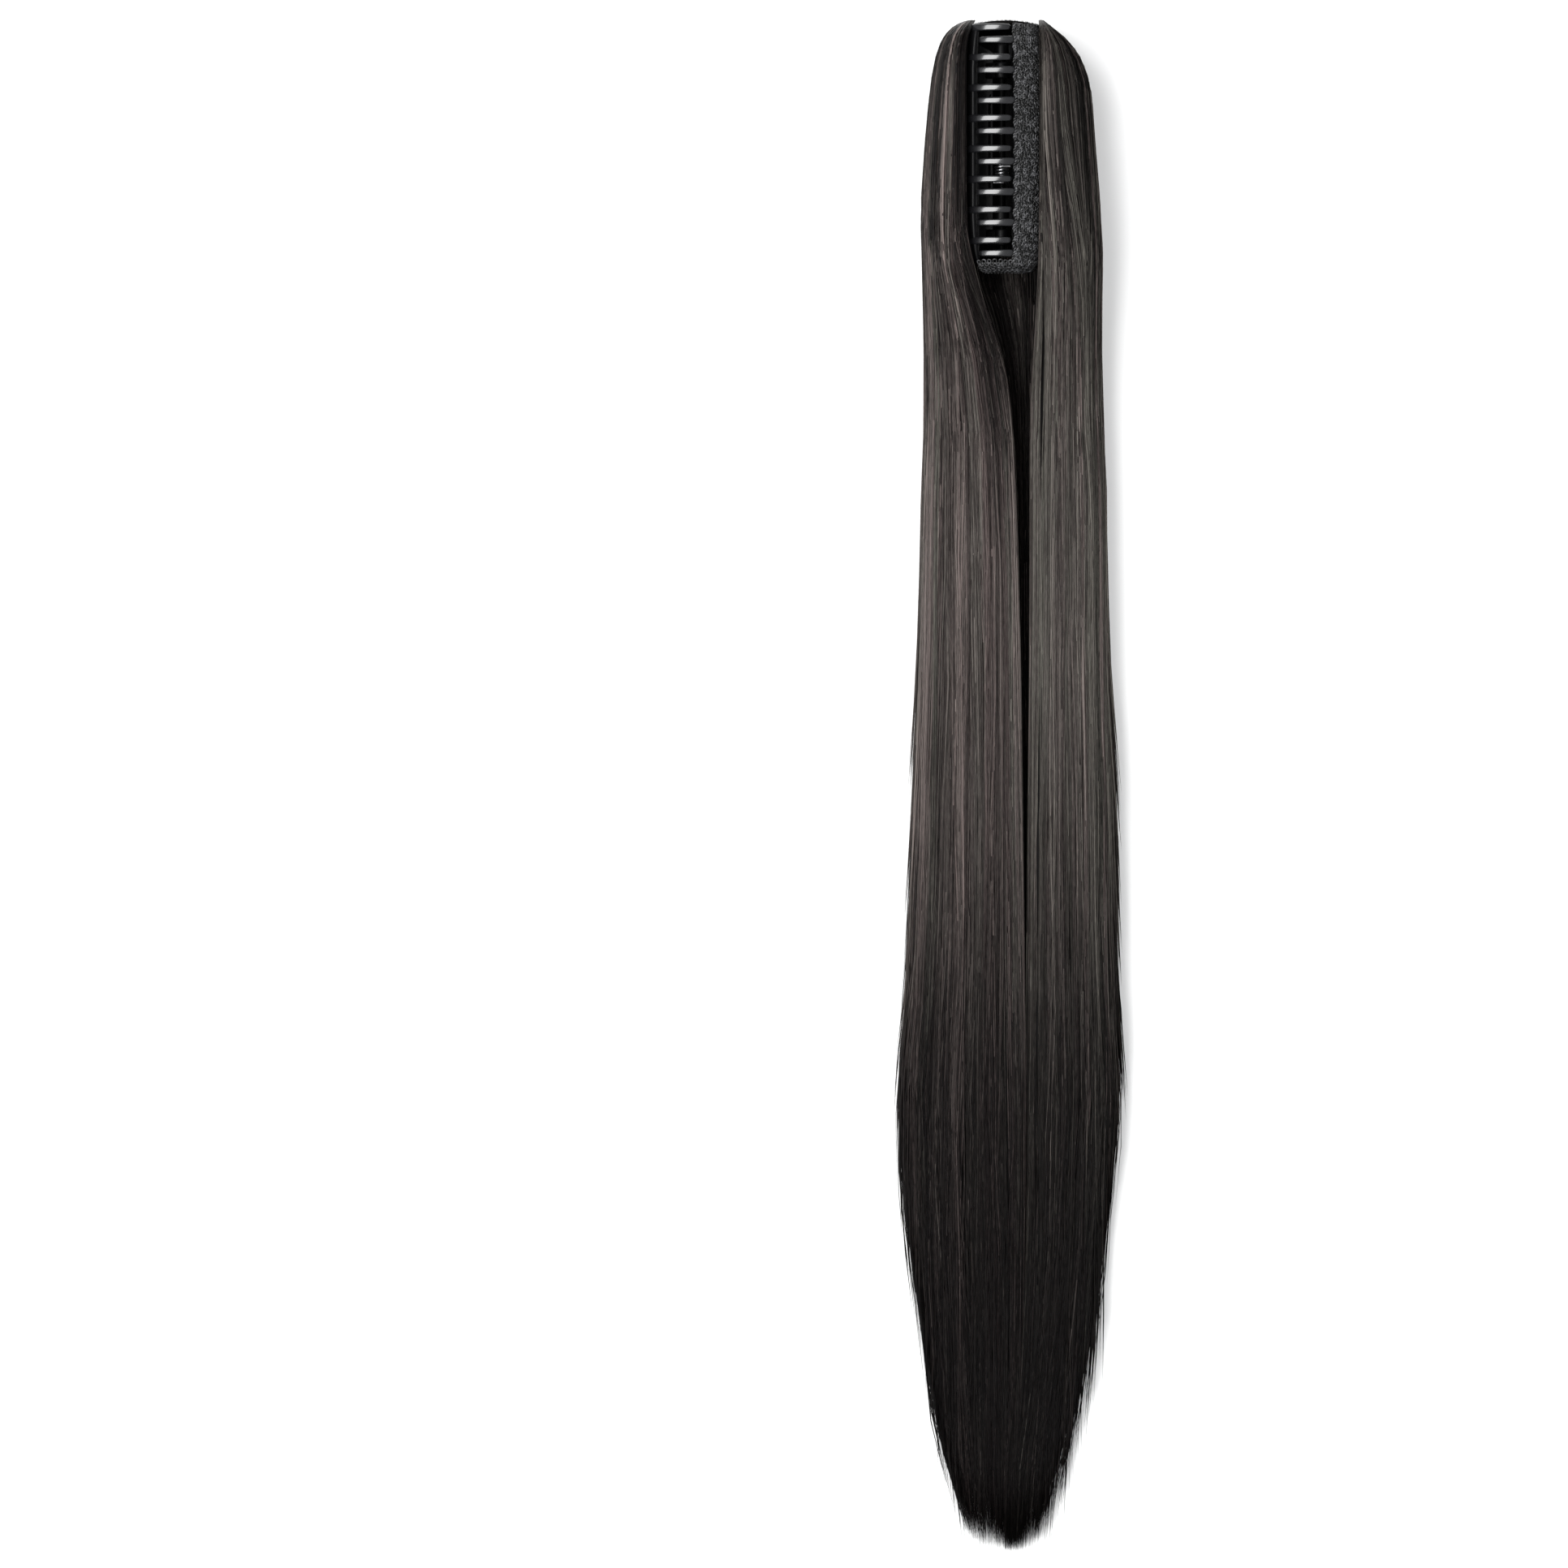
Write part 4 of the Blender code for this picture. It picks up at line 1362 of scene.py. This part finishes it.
        # Strands in the parting are darker: painted shade in the parting's hollow, with a lighter
        # stray lock beside the claw.
        stray = np.exp(-(((spread - 0.62) / 0.14) ** 2)) * np.clip((y - 0.165) / 0.05, 0, 1)
        tone = np.where(gap, tone - 0.30 + 0.34 * stray, tone)
        warmth = rng.uniform(0.1, 0.9, count)[:, None] + 0 * y
        traits = {"tone": np.clip(tone, 0, 1), "warmth": warmth}
        return tubes(points, radius, radius * 0.8, 3, (1, 0, 0), traits=traits)

    def turned_up(self, count: int = 400) -> Surface:
        """Strands that come from under the layer and turn up round the claw's end. Each path is
        a quarter circle between a flat run and an upright one, fanned a little at the top.

        Args:
            count: how many strands.

        Returns:
            The strands as one surface.
        """
        rng = np.random.default_rng(self.seed + 5)
        steps = 16
        t = np.linspace(0, 1, steps)
        bend, rise = self.bend, self.flap_top - self.bend
        angle = np.clip((t - 0.3) / 0.25, 0, 1) * np.pi / 2
        flat = np.clip(t / 0.3, 0, 1)
        upright = np.clip((t - 0.55) / 0.45, 0, 1)
        out = self.form.end_y - 0.0006 - bend - self.run * (1 - flat) + bend * np.sin(angle)
        height = 0.0008 + bend * (1 - np.cos(angle)) + upright * rise
        foot = rng.uniform(-1, 1, count)
        centre = self.flap_centre
        half_low, half_high = self.flap_width * 0.60, self.flap_width * 0.49
        x = centre + foot[:, None] * (half_low + (half_high - half_low) * t)
        x = x + 0.0004 * wander(rng, np.repeat(t[None], count, 0), (0.6, 0.25))
        oval = np.sqrt(np.clip(1 - (foot * 0.96) ** 2, 0, 1))[:, None]
        depth = rng.uniform(-0.0016, 0.0002, count)[:, None]
        points = np.stack(
            [
                x,
                out + depth * np.sin(angle) - self.flap_bow * foot[:, None] ** 2,
                0.0008 + (height - 0.0008) * (0.45 + 0.55 * oval),
            ],
            -1,
        )
        radius = rng.uniform(0.00016, 0.00034, count)[:, None] * np.clip((1 - t) / 0.1, 0.1, 1)
        tone = np.repeat(rng.normal(0.34, 0.15, count)[:, None], steps, 1)
        warmth = np.repeat(rng.uniform(0.1, 0.9, count)[:, None], steps, 1)
        traits = {"tone": np.clip(tone, 0, 1), "warmth": warmth}
        return tubes(points, radius, radius * 0.8, 3, (1, 0, 0), traits=traits)

    def flap(self) -> Surface:
        """The ground behind the turned-up strands: an upright oval pad.

        Returns:
            The surface.
        """
        y = self.form.end_y - np.array([0.0007, 0.0009, 0.0021, 0.0023])
        size = np.array([0.93, 1.0, 1.0, 0.93])[:, None]
        turn = np.linspace(0, 2 * np.pi, 41)[:-1]
        across = np.cos(turn)
        x = self.flap_centre + self.flap_width / 2 * size * across
        y = y[:, None] - self.flap_bow * across**2
        middle = (self.flap_foot + self.flap_top) / 2
        z = middle + (self.flap_top - self.flap_foot) / 2 * size * np.sin(turn)
        points = np.stack([x, y, z], -1)
        return lofted(points, np.stack([x * 500, z], -1), self.shade(x.shape))

    def build(self, finishes: "Finishes") -> None:
        """Make the ground, the flap and their strands, in the place of the CAD layer.

        Args:
            finishes: the materials.
        """
        ground = joined([self.ground(), self.flap()])
        add_piece("layer_ground", ground, finishes.under, Body.HAIR, ("hair_front",))
        add_piece("layer_strands", self.dress(), finishes.hair, Body.HAIR)
        add_piece("layer_turned_up", self.turned_up(), finishes.hair, Body.HAIR)


# Claw


@dataclass(frozen=True)
class Claw:
    """The claw's own axes and sizes: turns are degrees from its top, reaches go from the pin."""

    x: float = -0.0037
    pin_z: float = 0.0245
    tilt: float = math.radians(-11.2)
    top_y: float = 0.3274
    low_y: float = 0.2246
    radius: float = 0.0220
    camber: float = 0.16
    wall: float = 0.0024
    bends: tuple[tuple[float, float], ...] = (
        (24.0, 0.0220), (34.0, 0.0220), (46.0, 0.0220), (60.0, 0.0213), (74.0, 0.0192),
        (86.0, 0.0155), (95.0, 0.0108), (105.0, 0.0056),
    )

    @staticmethod
    def arch(y: Array) -> Array:
        """How far the claw's back lies lower at y than at its middle."""
        middle, half = (Claw.top_y + Claw.low_y) / 2, (Claw.top_y - Claw.low_y) / 2
        return Claw.radius * Claw.camber * np.minimum(np.abs(y - middle) / half, 1.0) ** 4

    def reach(self, turn: Array) -> Array:
        """The reach of a jaw's back at a turn, in degrees."""
        turns, reaches = np.array(self.bends).T
        return smooth_read(np.asarray(turn, float), turns, reaches)

    def place(self, side: Side, turn: Array, reach: Array, y: Array) -> Array:
        """Points of the claw in the scene: from turn and reach to x and z, arched, and tilted
        about the pin.

        Args:
            side: the jaw.
            turn: degrees from the claw's top towards that jaw's outside.
            reach: distance from the pin.
            y: place along the claw.

        Returns:
            Points, with a last axis of 3.
        """
        turn, reach, y = np.broadcast_arrays(turn, reach, y)
        angle = np.radians(turn)
        near = reach - self.arch(y) * np.minimum(reach / self.radius, 1.0)
        x = side.value * near * np.sin(angle)
        z = near * np.cos(angle)
        lean_x = x * math.cos(self.tilt) + z * math.sin(self.tilt)
        lean_z = z * math.cos(self.tilt) - x * math.sin(self.tilt)
        return np.stack([self.x + lean_x, y, self.pin_z + lean_z], -1)


@dataclass
class Jaw:
    """One jaw: a curved back with rounded rims, a comb of long round teeth, a lever for the
    finger, and two knuckles on the pin."""

    side: Side
    claw: Claw
    count: int = 8
    pitch: float = 0.0131
    stagger: float = 0.00555
    first_tooth: float = 0.3254
    tooth_width: float = 0.0034
    tooth_root: float = 34.0
    tooth_tip: float = -22.0
    back_from: float = 24.0
    back_to: float = 105.0
    corner: float = 0.22
    rim: float = 0.62
    knuckle: float = 0.0034
    hole: float = 0.0018
    knuckle_width: float = 0.0070
    knuckles_at: tuple[float, float] = (-0.0320, 0.0400)

    def slab(self, turns: Array, reaches: Array, low: Array, high: Array, wall: float) -> Surface:
        """A bent slab with rounded rims: at each turn a long rounded section in y and reach,
        which closes like an ellipse at the first and last turn.

        Args:
            turns: degrees, first to last.
            reaches: the outer surface's reach at each turn.
            low: the slab's lower end at each turn.
            high: its upper end at each turn.
            wall: its thickness.

        Returns:
            The surface.
        """
        wide, deep = section(64, 0.16, self.rim)
        share = np.linspace(0, 1, len(turns))
        close = opened(np.minimum(share, 1 - share), 0.045)
        half = (high - low) / 2
        y = ((low + high) / 2)[:, None] + (half - 0.0006 * (1 - close))[:, None] * wide
        reach = (reaches - wall / 2)[:, None] + (wall / 2 * (0.12 + 0.88 * close))[:, None] * deep
        points = self.claw.place(self.side, turns[:, None], reach, y)
        points = points[:, ::-1] if self.side is Side.LEFT else points
        return lofted(points, np.stack([y, reach * 4], -1))

    def back(self) -> Surface:
        """The jaw's back, narrower towards the hinge.

        Returns:
            The surface.
        """
        turns = np.linspace(self.back_from, self.back_to, 60)
        shrink = 1 - self.corner * ((turns - self.back_from) / 80.0) ** 2
        middle = (self.claw.top_y + self.claw.low_y) / 2
        half = (self.claw.top_y - self.claw.low_y) / 2 * shrink
        reaches = self.claw.reach(turns)
        return self.slab(turns, reaches, middle - half, middle + half, self.claw.wall)

    def comb(self) -> Surface:
        """The teeth: round bars carried along the claw's arc, narrower and rounded at the tip.

        Returns:
            All the teeth as one surface.
        """
        rings = 26
        share = np.linspace(0, 1, rings)
        share = np.concatenate([share[:-5], 1 - (1 - share[-5]) * np.linspace(1, 0, 6)[1:] ** 2])
        turn = self.tooth_root + (self.tooth_tip - self.tooth_root) * share
        start = self.first_tooth - (self.stagger if self.side is Side.RIGHT else 0.0)
        y = start - self.pitch * np.arange(self.count)
        reach = self.claw.radius - self.claw.wall / 2 + 0.0001
        lines = self.claw.place(self.side, turn[None], reach, y[:, None])
        narrow = 1 - 0.20 * share - 0.08 * share**4
        tip = np.sqrt(np.clip(1 - (np.clip(share - 0.93, 0, 1) / 0.07) ** 2, 0.02, 1))
        across = np.repeat((self.tooth_width / 2 * narrow * tip)[None], self.count, 0)
        deep = np.repeat((self.claw.wall / 2 * (1 - 0.25 * share) * tip)[None], self.count, 0)
        return tubes(lines, across, deep, 16, (0, 1, 0), squareness=0.50)

    def lever(self) -> Surface:
        """The finger lever: a slab from the hinge outwards, bent up, its free corners drawn in.

        Returns:
            The surface.
        """
        share = np.linspace(0, 1, 40)
        turns = np.interp(share, (0, 0.45, 0.75, 1), (103.0, 122.0, 129.0, 133.0))
        reaches = np.interp(share, (0, 0.35, 0.65, 1), (0.0052, 0.0076, 0.0115, 0.0165))
        half = 0.0220 * (1 - 0.18 * share**5)
        middle = (self.claw.top_y + self.claw.low_y) / 2
        spread = np.degrees(np.arctan2(self.claw.wall / 2, reaches))
        return self.lever_slab(turns, reaches, middle - half, middle + half, spread)

    def lever_slab(
        self, turns: Array, reaches: Array, low: Array, high: Array, spread: Array
    ) -> Surface:
        """A slab whose thickness lies across the turn, because it runs outward from the pin.

        Args:
            turns: the middle of the slab at each step, in degrees.
            reaches: its distance from the pin at each step.
            low: its lower end.
            high: its upper end.
            spread: half its thickness, as degrees at that reach.

        Returns:
            The surface.
        """
        wide, deep = section(48, 0.2, self.rim)
        share = np.linspace(0, 1, len(turns))
        close = opened(1 - share, 0.06)
        y = ((low + high) / 2)[:, None] + ((high - low) / 2)[:, None] * wide
        turn = turns[:, None] + (spread * (0.15 + 0.85 * close))[:, None] * deep
        points = self.claw.place(self.side, turn, np.broadcast_to(reaches[:, None], turn.shape), y)
        points = points[:, ::-1] if self.side is Side.RIGHT else points
        return lofted(points, np.stack([y, turn * 0.001], -1))

    def knuckles(self) -> Surface:
        """Two knuckles: a rounded ring section turned about the pin, each with its rib.

        Returns:
            The surface.
        """
        middle = (self.claw.top_y + self.claw.low_y) / 2
        made = []
        for offset in self.knuckles_at:
            offset = self.side.value * offset
            made.append(self.barrel(middle + offset))
            made.append(self.rib(middle + offset))
        return joined(made)

    def barrel(self, y: float) -> Surface:
        """A rounded ring section carried round the pin.

        Args:
            y: the middle of the knuckle.

        Returns:
            The surface, closed on itself.
        """
        long, thick = section(20, 0.4, 0.6)
        turn = np.linspace(0, 360, 33)[:, None]
        reach = (self.knuckle + self.hole) / 2 + (self.knuckle - self.hole) / 2 * thick
        y = y + self.knuckle_width / 2 * long
        points = self.claw.place(Side.RIGHT, turn, reach + 0 * turn, y)
        uv = np.stack([turn * 0.001 + 0 * reach, reach * 4 + 0 * turn], -1)
        return lofted(points, uv, capped=False)

    def rib(self, y: float) -> Surface:
        """The rib from a knuckle to the lower edge of the jaw's back.

        Args:
            y: the middle of the knuckle.

        Returns:
            The surface.
        """
        reach = np.linspace(0.0026, 0.0076, 8)
        line = self.claw.place(self.side, np.full(8, 105.0), reach, np.full(8, y))[None]
        across = np.full((1, 8), self.knuckle_width / 2)
        deep = np.full((1, 8), self.claw.wall / 2)
        return tubes(line, across, deep, 16, (0, 1, 0), squareness=0.4)

    def build(self, finishes: "Finishes") -> None:
        """Make the jaw's pieces, in the place of the CAD jaw.

        Args:
            finishes: the materials.
        """
        name = "jaw_" + self.side.word
        node = "claw_" + name
        body = Body.LEFT_JAW if self.side is Side.LEFT else Body.RIGHT_JAW
        for part, surface in (
            ("back", self.back()),
            ("teeth", self.comb()),
            ("lever", self.lever()),
            ("knuckles", self.knuckles()),
        ):
            stands_for = (node,) if part == "back" else ()
            # Every part but the teeth takes the plastic darkened as painted shade.
            finish = finishes.plastic if part == "teeth" else finishes.dull_plastic
            add_piece(f"{name}_{part}", surface, finish, body, stands_for)


@dataclass
class Spring:
    """The torsion spring round the pin: a coil with a straight leg on each end."""

    claw: Claw
    middle_y: float = 0.2630
    turns: int = 5
    pitch: float = 0.0014
    radius: float = 0.0027
    wire: float = 0.00055
    leg: float = 0.0040

    def build(self, finishes: "Finishes") -> None:
        """Carry a round wire along the coil, in the place of the CAD spring.

        Args:
            finishes: the materials.
        """
        steps = self.turns * 28
        t = np.linspace(0, 1, steps + 1)
        angle = 2 * np.pi * self.turns * t
        length = self.turns * self.pitch
        coil = np.stack(
            [
                self.claw.x + self.radius * np.sin(angle),
                self.middle_y - length / 2 + length * t,
                self.claw.pin_z + self.radius * np.cos(angle),
            ],
            -1,
        )
        leg = np.linspace(self.leg, 0.0006, 6)[:, None] * np.array([1.0, 0, 0])
        line = np.concatenate([coil[:1] - leg, coil, coil[-1:] + leg[::-1]])[None]
        wire = np.full(line.shape[:2], self.wire)
        surface = tubes(line, wire, wire, 10, (0, 1, 0))
        add_piece("spring_coil", surface, finishes.steel, Body.HAIR, ("claw_spring",))


@dataclass
class Net:
    """The crocheted net on the right jaw's shoulder and round the claw's lower end: a thin
    ground, rows of loops over it, and a corded edge."""

    claw: Claw
    clearance: float = 0.0005
    wall: float = 0.0006
    inner_turn: float = 25.5
    outer_turn: float = 70.0
    low_y: float = 0.2242
    top_y: float = 0.3266
    hood_turn: float = -23.0
    hood_depth: float = 0.0034
    hood_closing: float = 0.0105
    hood_stretch: float = 1.9
    scallop_length: float = 0.0065
    row: float = 0.0019
    thread: float = 0.00034
    ply_length: float = 0.0026
    flat: tuple[float, float] = (0.035, 0.109)
    flat_area: float = 0.0023
    seed: int = 31

    def cloth(self, turn: Array, y: Array, lift: Array) -> Array:
        """A point of the net: on the jaw's shoulder above low_y, and below it round the claw's
        end, where y falls with the sine of the way round and the reach closes with its cosine.

        Args:
            turn: degrees from the claw's top.
            y: place along the net. Below low_y it is the way round the end, in metres.
            lift: height over the jaw.

        Returns:
            Points.
        """
        turn, y, lift = np.broadcast_arrays(turn, y, lift)
        past = np.clip((self.low_y - y) / (self.hood_depth * self.hood_stretch), 0, 1)
        past = past * np.pi / 2 * 0.9
        place = np.where(past > 0, self.low_y - (self.hood_depth + lift * 0.6) * np.sin(past), y)
        reach = self.claw.reach(np.clip(turn, 24.0, 105.0)) + self.clearance + lift
        reach = reach - self.hood_closing * (1 - np.cos(past))
        return self.claw.place(Side.RIGHT, turn, reach, place)

    def shell(self, turn: Array, y: Array) -> Surface:
        """Two parallel sheets through a grid of turns and places, joined along their edges.

        Args:
            turn: degrees from the claw's top.
            y: places along the net, in the same shape.

        Returns:
            The closed surface.
        """
        top = self.cloth(turn, y, np.full(turn.shape, self.wall))
        under = self.cloth(turn, y, np.zeros(turn.shape))
        points = np.concatenate([top, under[:, ::-1]], axis=1)[:, ::-1]
        u = np.concatenate([turn, turn[:, ::-1]], axis=1) * 0.02
        return lofted(points, np.stack([u, np.tile(y, 2) * 50], -1))

    def scallop(self, y: Array) -> Array:
        """The wave of the net's free edge along the teeth, from -1 to 1."""
        return np.sin(y * 2 * np.pi / self.scallop_length)

    def ground(self) -> Surface:
        """The thin ground over the shoulder, with its scalloped edge, and round the claw's end.

        Returns:
            Both shells as one surface.
        """
        y = np.linspace(self.low_y, self.top_y, 90)[:, None]
        edge = self.inner_turn + 1.2 * self.scallop(y)
        turn = edge + (self.outer_turn - edge) * np.linspace(0, 1, 30)
        shoulder = self.shell(turn, y + 0 * turn)
        y = (self.low_y - np.linspace(0.0, self.hood_depth * self.hood_stretch, 16))[:, None]
        turn = np.linspace(self.outer_turn, self.hood_turn, 44) + 0 * y
        return joined([shoulder, self.shell(turn, y + 0 * turn)])

    def rows_of_loops(self, ys: Array, first: float, last: float, stitches: int) -> Surface:
        """Interlocking rows of plain stitches. Along a row the thread goes forward steadily plus
        a sine of twice the phase, up and down with the cosine of the phase, and over and under
        with the cosine of twice the phase.

        Args:
            ys: the rows' places along the net.
            first: the turn where the rows begin.
            last: the turn where they end.
            stitches: loops in a row.

        Returns:
            The threads as one surface.
        """
        rng = np.random.default_rng(self.seed + stitches)
        per = 12
        phase = np.linspace(0, 2 * np.pi * stitches, stitches * per + 1)
        rows = len(ys)
        step = (last - first) / stitches
        edge = first + 1.6 * self.scallop(ys)
        share = phase / phase[-1]
        flat = edge[:, None] + (last - edge)[:, None] * share + 0.21 * step * np.sin(2 * phase)
        turn = flat + 1.1 * wander(rng, np.repeat(share[None], rows, 0), (0.5, 0.2))
        along = ys[:, None] - self.row * 0.78 * np.cos(phase)
        along = along + 0.00028 * wander(rng, np.repeat(share[None], rows, 0), (0.4, 0.15))
        lift = self.wall + self.thread * (0.9 + 0.75 * np.cos(2 * phase))
        lift = lift * rng.uniform(0.75, 1.3, (rows, 1))
        top = np.minimum(along, self.top_y)
        lines = self.cloth(turn, top, lift)
        size = self.thread * rng.uniform(0.8, 1.2, (rows, 1)) * np.ones_like(turn)
        return tubes(lines, size, size, 5, (0, 0.35, 1))

    def edge_cord(self) -> Surface:
        """The corded edge beside the teeth: two plies that wind round each other.

        Returns:
            The surface.
        """
        y = np.linspace(self.top_y, self.low_y - 0.0012, 420)
        made = []
        for start in (0.0, np.pi):
            wind = y * 2 * np.pi / self.ply_length + start
            turn = self.inner_turn - 0.6 + 1.5 * np.sin(wind) + 1.2 * self.scallop(y)
            lift = 0.0007 + 0.00035 * np.cos(wind)
            size = np.full((1, len(y)), self.thread * 1.05)
            line = self.cloth(turn, y, lift)[None]
            made.append(tubes(line, size, size, 6, (1, 0, 0)))
        return joined(made)

    def build(self, finishes: "Finishes") -> None:
        """Make the ground, the loops and the edge, in the place of the CAD net.

        Args:
            finishes: the materials.
        """
        body = Body.RIGHT_JAW
        slot, thread, stands_for = "net_thread", finishes.thread, ("claw_net",)
        cloth = add_piece(
            "net_ground", self.ground(), finishes.net_ground, body, stands_for
        )
        shoulder = np.arange(self.top_y - 0.0012, self.low_y, -self.row)
        loops = self.rows_of_loops(shoulder, self.inner_turn, self.outer_turn, 8)
        rows = add_piece("net_loops", loops, thread, body)
        end = self.low_y - np.array([0.0004, 0.0021, 0.0038, 0.0054])
        hood = self.rows_of_loops(end, self.hood_turn, self.outer_turn, 14)
        end_rows = add_piece("net_end_loops", hood, thread, body)
        edge = add_piece("net_edge", self.edge_cord(), thread, body)


@dataclass
class Studio:
    """A pale floor, soft light from the left, and a camera straight above the hairpiece."""

    view_width: float = 0.6811
    object_offset: float = 0.0978
    height: float = 4.0
    sensor: float = 36.0

    def build(self) -> None:
        """Make the floor, the lights, the surround and the camera."""
        self.floor()
        self.area("window", (-1.08, 0.27, 2.03), 2.2, 1.4, 77.0)
        self.area("fill", (1.1, 0.0, 2.3), 2.4, 2.4, 40.0).visible_glossy = False
        bpy.context.scene.view_settings.view_transform = "Standard"
        world = bpy.data.worlds.new("surround")
        world.use_nodes = True
        world.node_tree.nodes["Background"].inputs[0].default_value = (0.95, 0.97, 1.0, 1.0)
        world.node_tree.nodes["Background"].inputs[1].default_value = 0.35
        bpy.context.scene.world = world
        lens = self.sensor * self.height / self.view_width
        data = bpy.data.cameras.new("overhead_camera")
        data.lens = lens
        data.sensor_width = self.sensor
        data.clip_end = 50.0
        camera = bpy.data.objects.new("overhead_camera", data)
        camera.location = (-self.object_offset, 0.0, self.height)
        bpy.context.scene.collection.objects.link(camera)
        bpy.context.scene.camera = camera

    def floor(self) -> None:
        """A large flat square just under the hairpiece."""
        half = 6.0
        corners = np.array([(-half, -half, 0), (half, -half, 0), (half, half, 0), (-half, half, 0)])
        corners = corners - (0, 0, 0.0001)
        none = np.zeros((0, 3), int)
        surface = Surface(corners, np.array([[0, 1, 2, 3]]), none, corners[:, :2])
        made = bpy.data.objects.new("floor", surface.mesh("floor"))
        made.data.materials.append(FloorFinish().make())
        bpy.context.scene.collection.objects.link(made)

    def area(
        self, name: str, place: Point, wide: float, long: float, power: float
    ) -> bpy.types.Object:
        """A lamp that faces the hairpiece.

        Args:
            name: the lamp's name.
            place: where it hangs.
            wide: its width across the hairpiece.
            long: its length along it.
            power: in watts.

        Returns:
            The lamp.
        """
        data = bpy.data.lights.new(name, "AREA")
        data.shape = "RECTANGLE"
        data.size, data.size_y = wide, long
        data.energy = power
        lamp = bpy.data.objects.new(name, data)
        lamp.location = place
        lamp.rotation_euler = (-Vector(place)).to_track_quat("-Z", "Y").to_euler()
        bpy.context.scene.collection.objects.link(lamp)
        return lamp


@dataclass
class Finishes:
    """The materials, each made once."""

    hair: bpy.types.Material
    under: bpy.types.Material
    plastic: bpy.types.Material
    dull_plastic: bpy.types.Material
    steel: bpy.types.Material
    pin: bpy.types.Material
    thread: bpy.types.Material
    net_ground: bpy.types.Material

    @classmethod
    def make(cls) -> "Finishes":
        """Make every finish.

        Returns:
            All of them.
        """
        # The pin's greys are painted shade: its steel is darkened because it lies in the claw's
        # hollow.
        pin_shade_greys = ((0.003, 0.003, 0.003), (0.008, 0.008, 0.008))
        ground_greys = ((0.004, 0.004, 0.005), (0.001, 0.001, 0.001))
        return cls(
            hair=HairFinish("hair").make(),
            under=HairFinish("hair_in_shade", depth=0.6, roughness=0.5).make(),
            plastic=PlasticFinish().make(),
            # The jaws' backs, levers and knuckles take a real duller finish, and plastic darkened
            # to 0.3 as painted shade in the claw's hollow.
            dull_plastic=PlasticFinish(
                "black_plastic_inside", roughness=0.34, specular=0.18, coat=0.0, shade=0.3
            ).make(),
            steel=SteelFinish().make(),
            pin=SteelFinish("blackened_pin", *pin_shade_greys, roughness=0.5).make(),
            thread=ThreadFinish("net_thread").make(),
            net_ground=ThreadFinish("net_ground", *ground_greys).make(),
        )


def main() -> None:
    """Build each sub-assembly over the frame."""
    logging.basicConfig(level=logging.INFO, format="%(message)s")
    finishes = Finishes.make()
    Studio().build()
    form = HairForm()
    claw = Claw()
    SmoothLayer(form).build(finishes)
    SideLock(Side.LEFT, form, seed=11, hue=0.68, lean=0.04).build(finishes)
    SideLock(Side.RIGHT, form, seed=23, hue=0.34, lean=0.22).build(finishes)
    for side in Side:
        Jaw(side, claw).build(finishes)
    Spring(claw).build(finishes)
    Net(claw).build(finishes)
    # The hidden pin takes the steel darkened as painted shade.
    pin = bpy.data.objects["hinge_pin"]
    pin.data.materials.clear()
    pin.data.materials.append(finishes.pin)


if __name__ == "__main__":
    main()
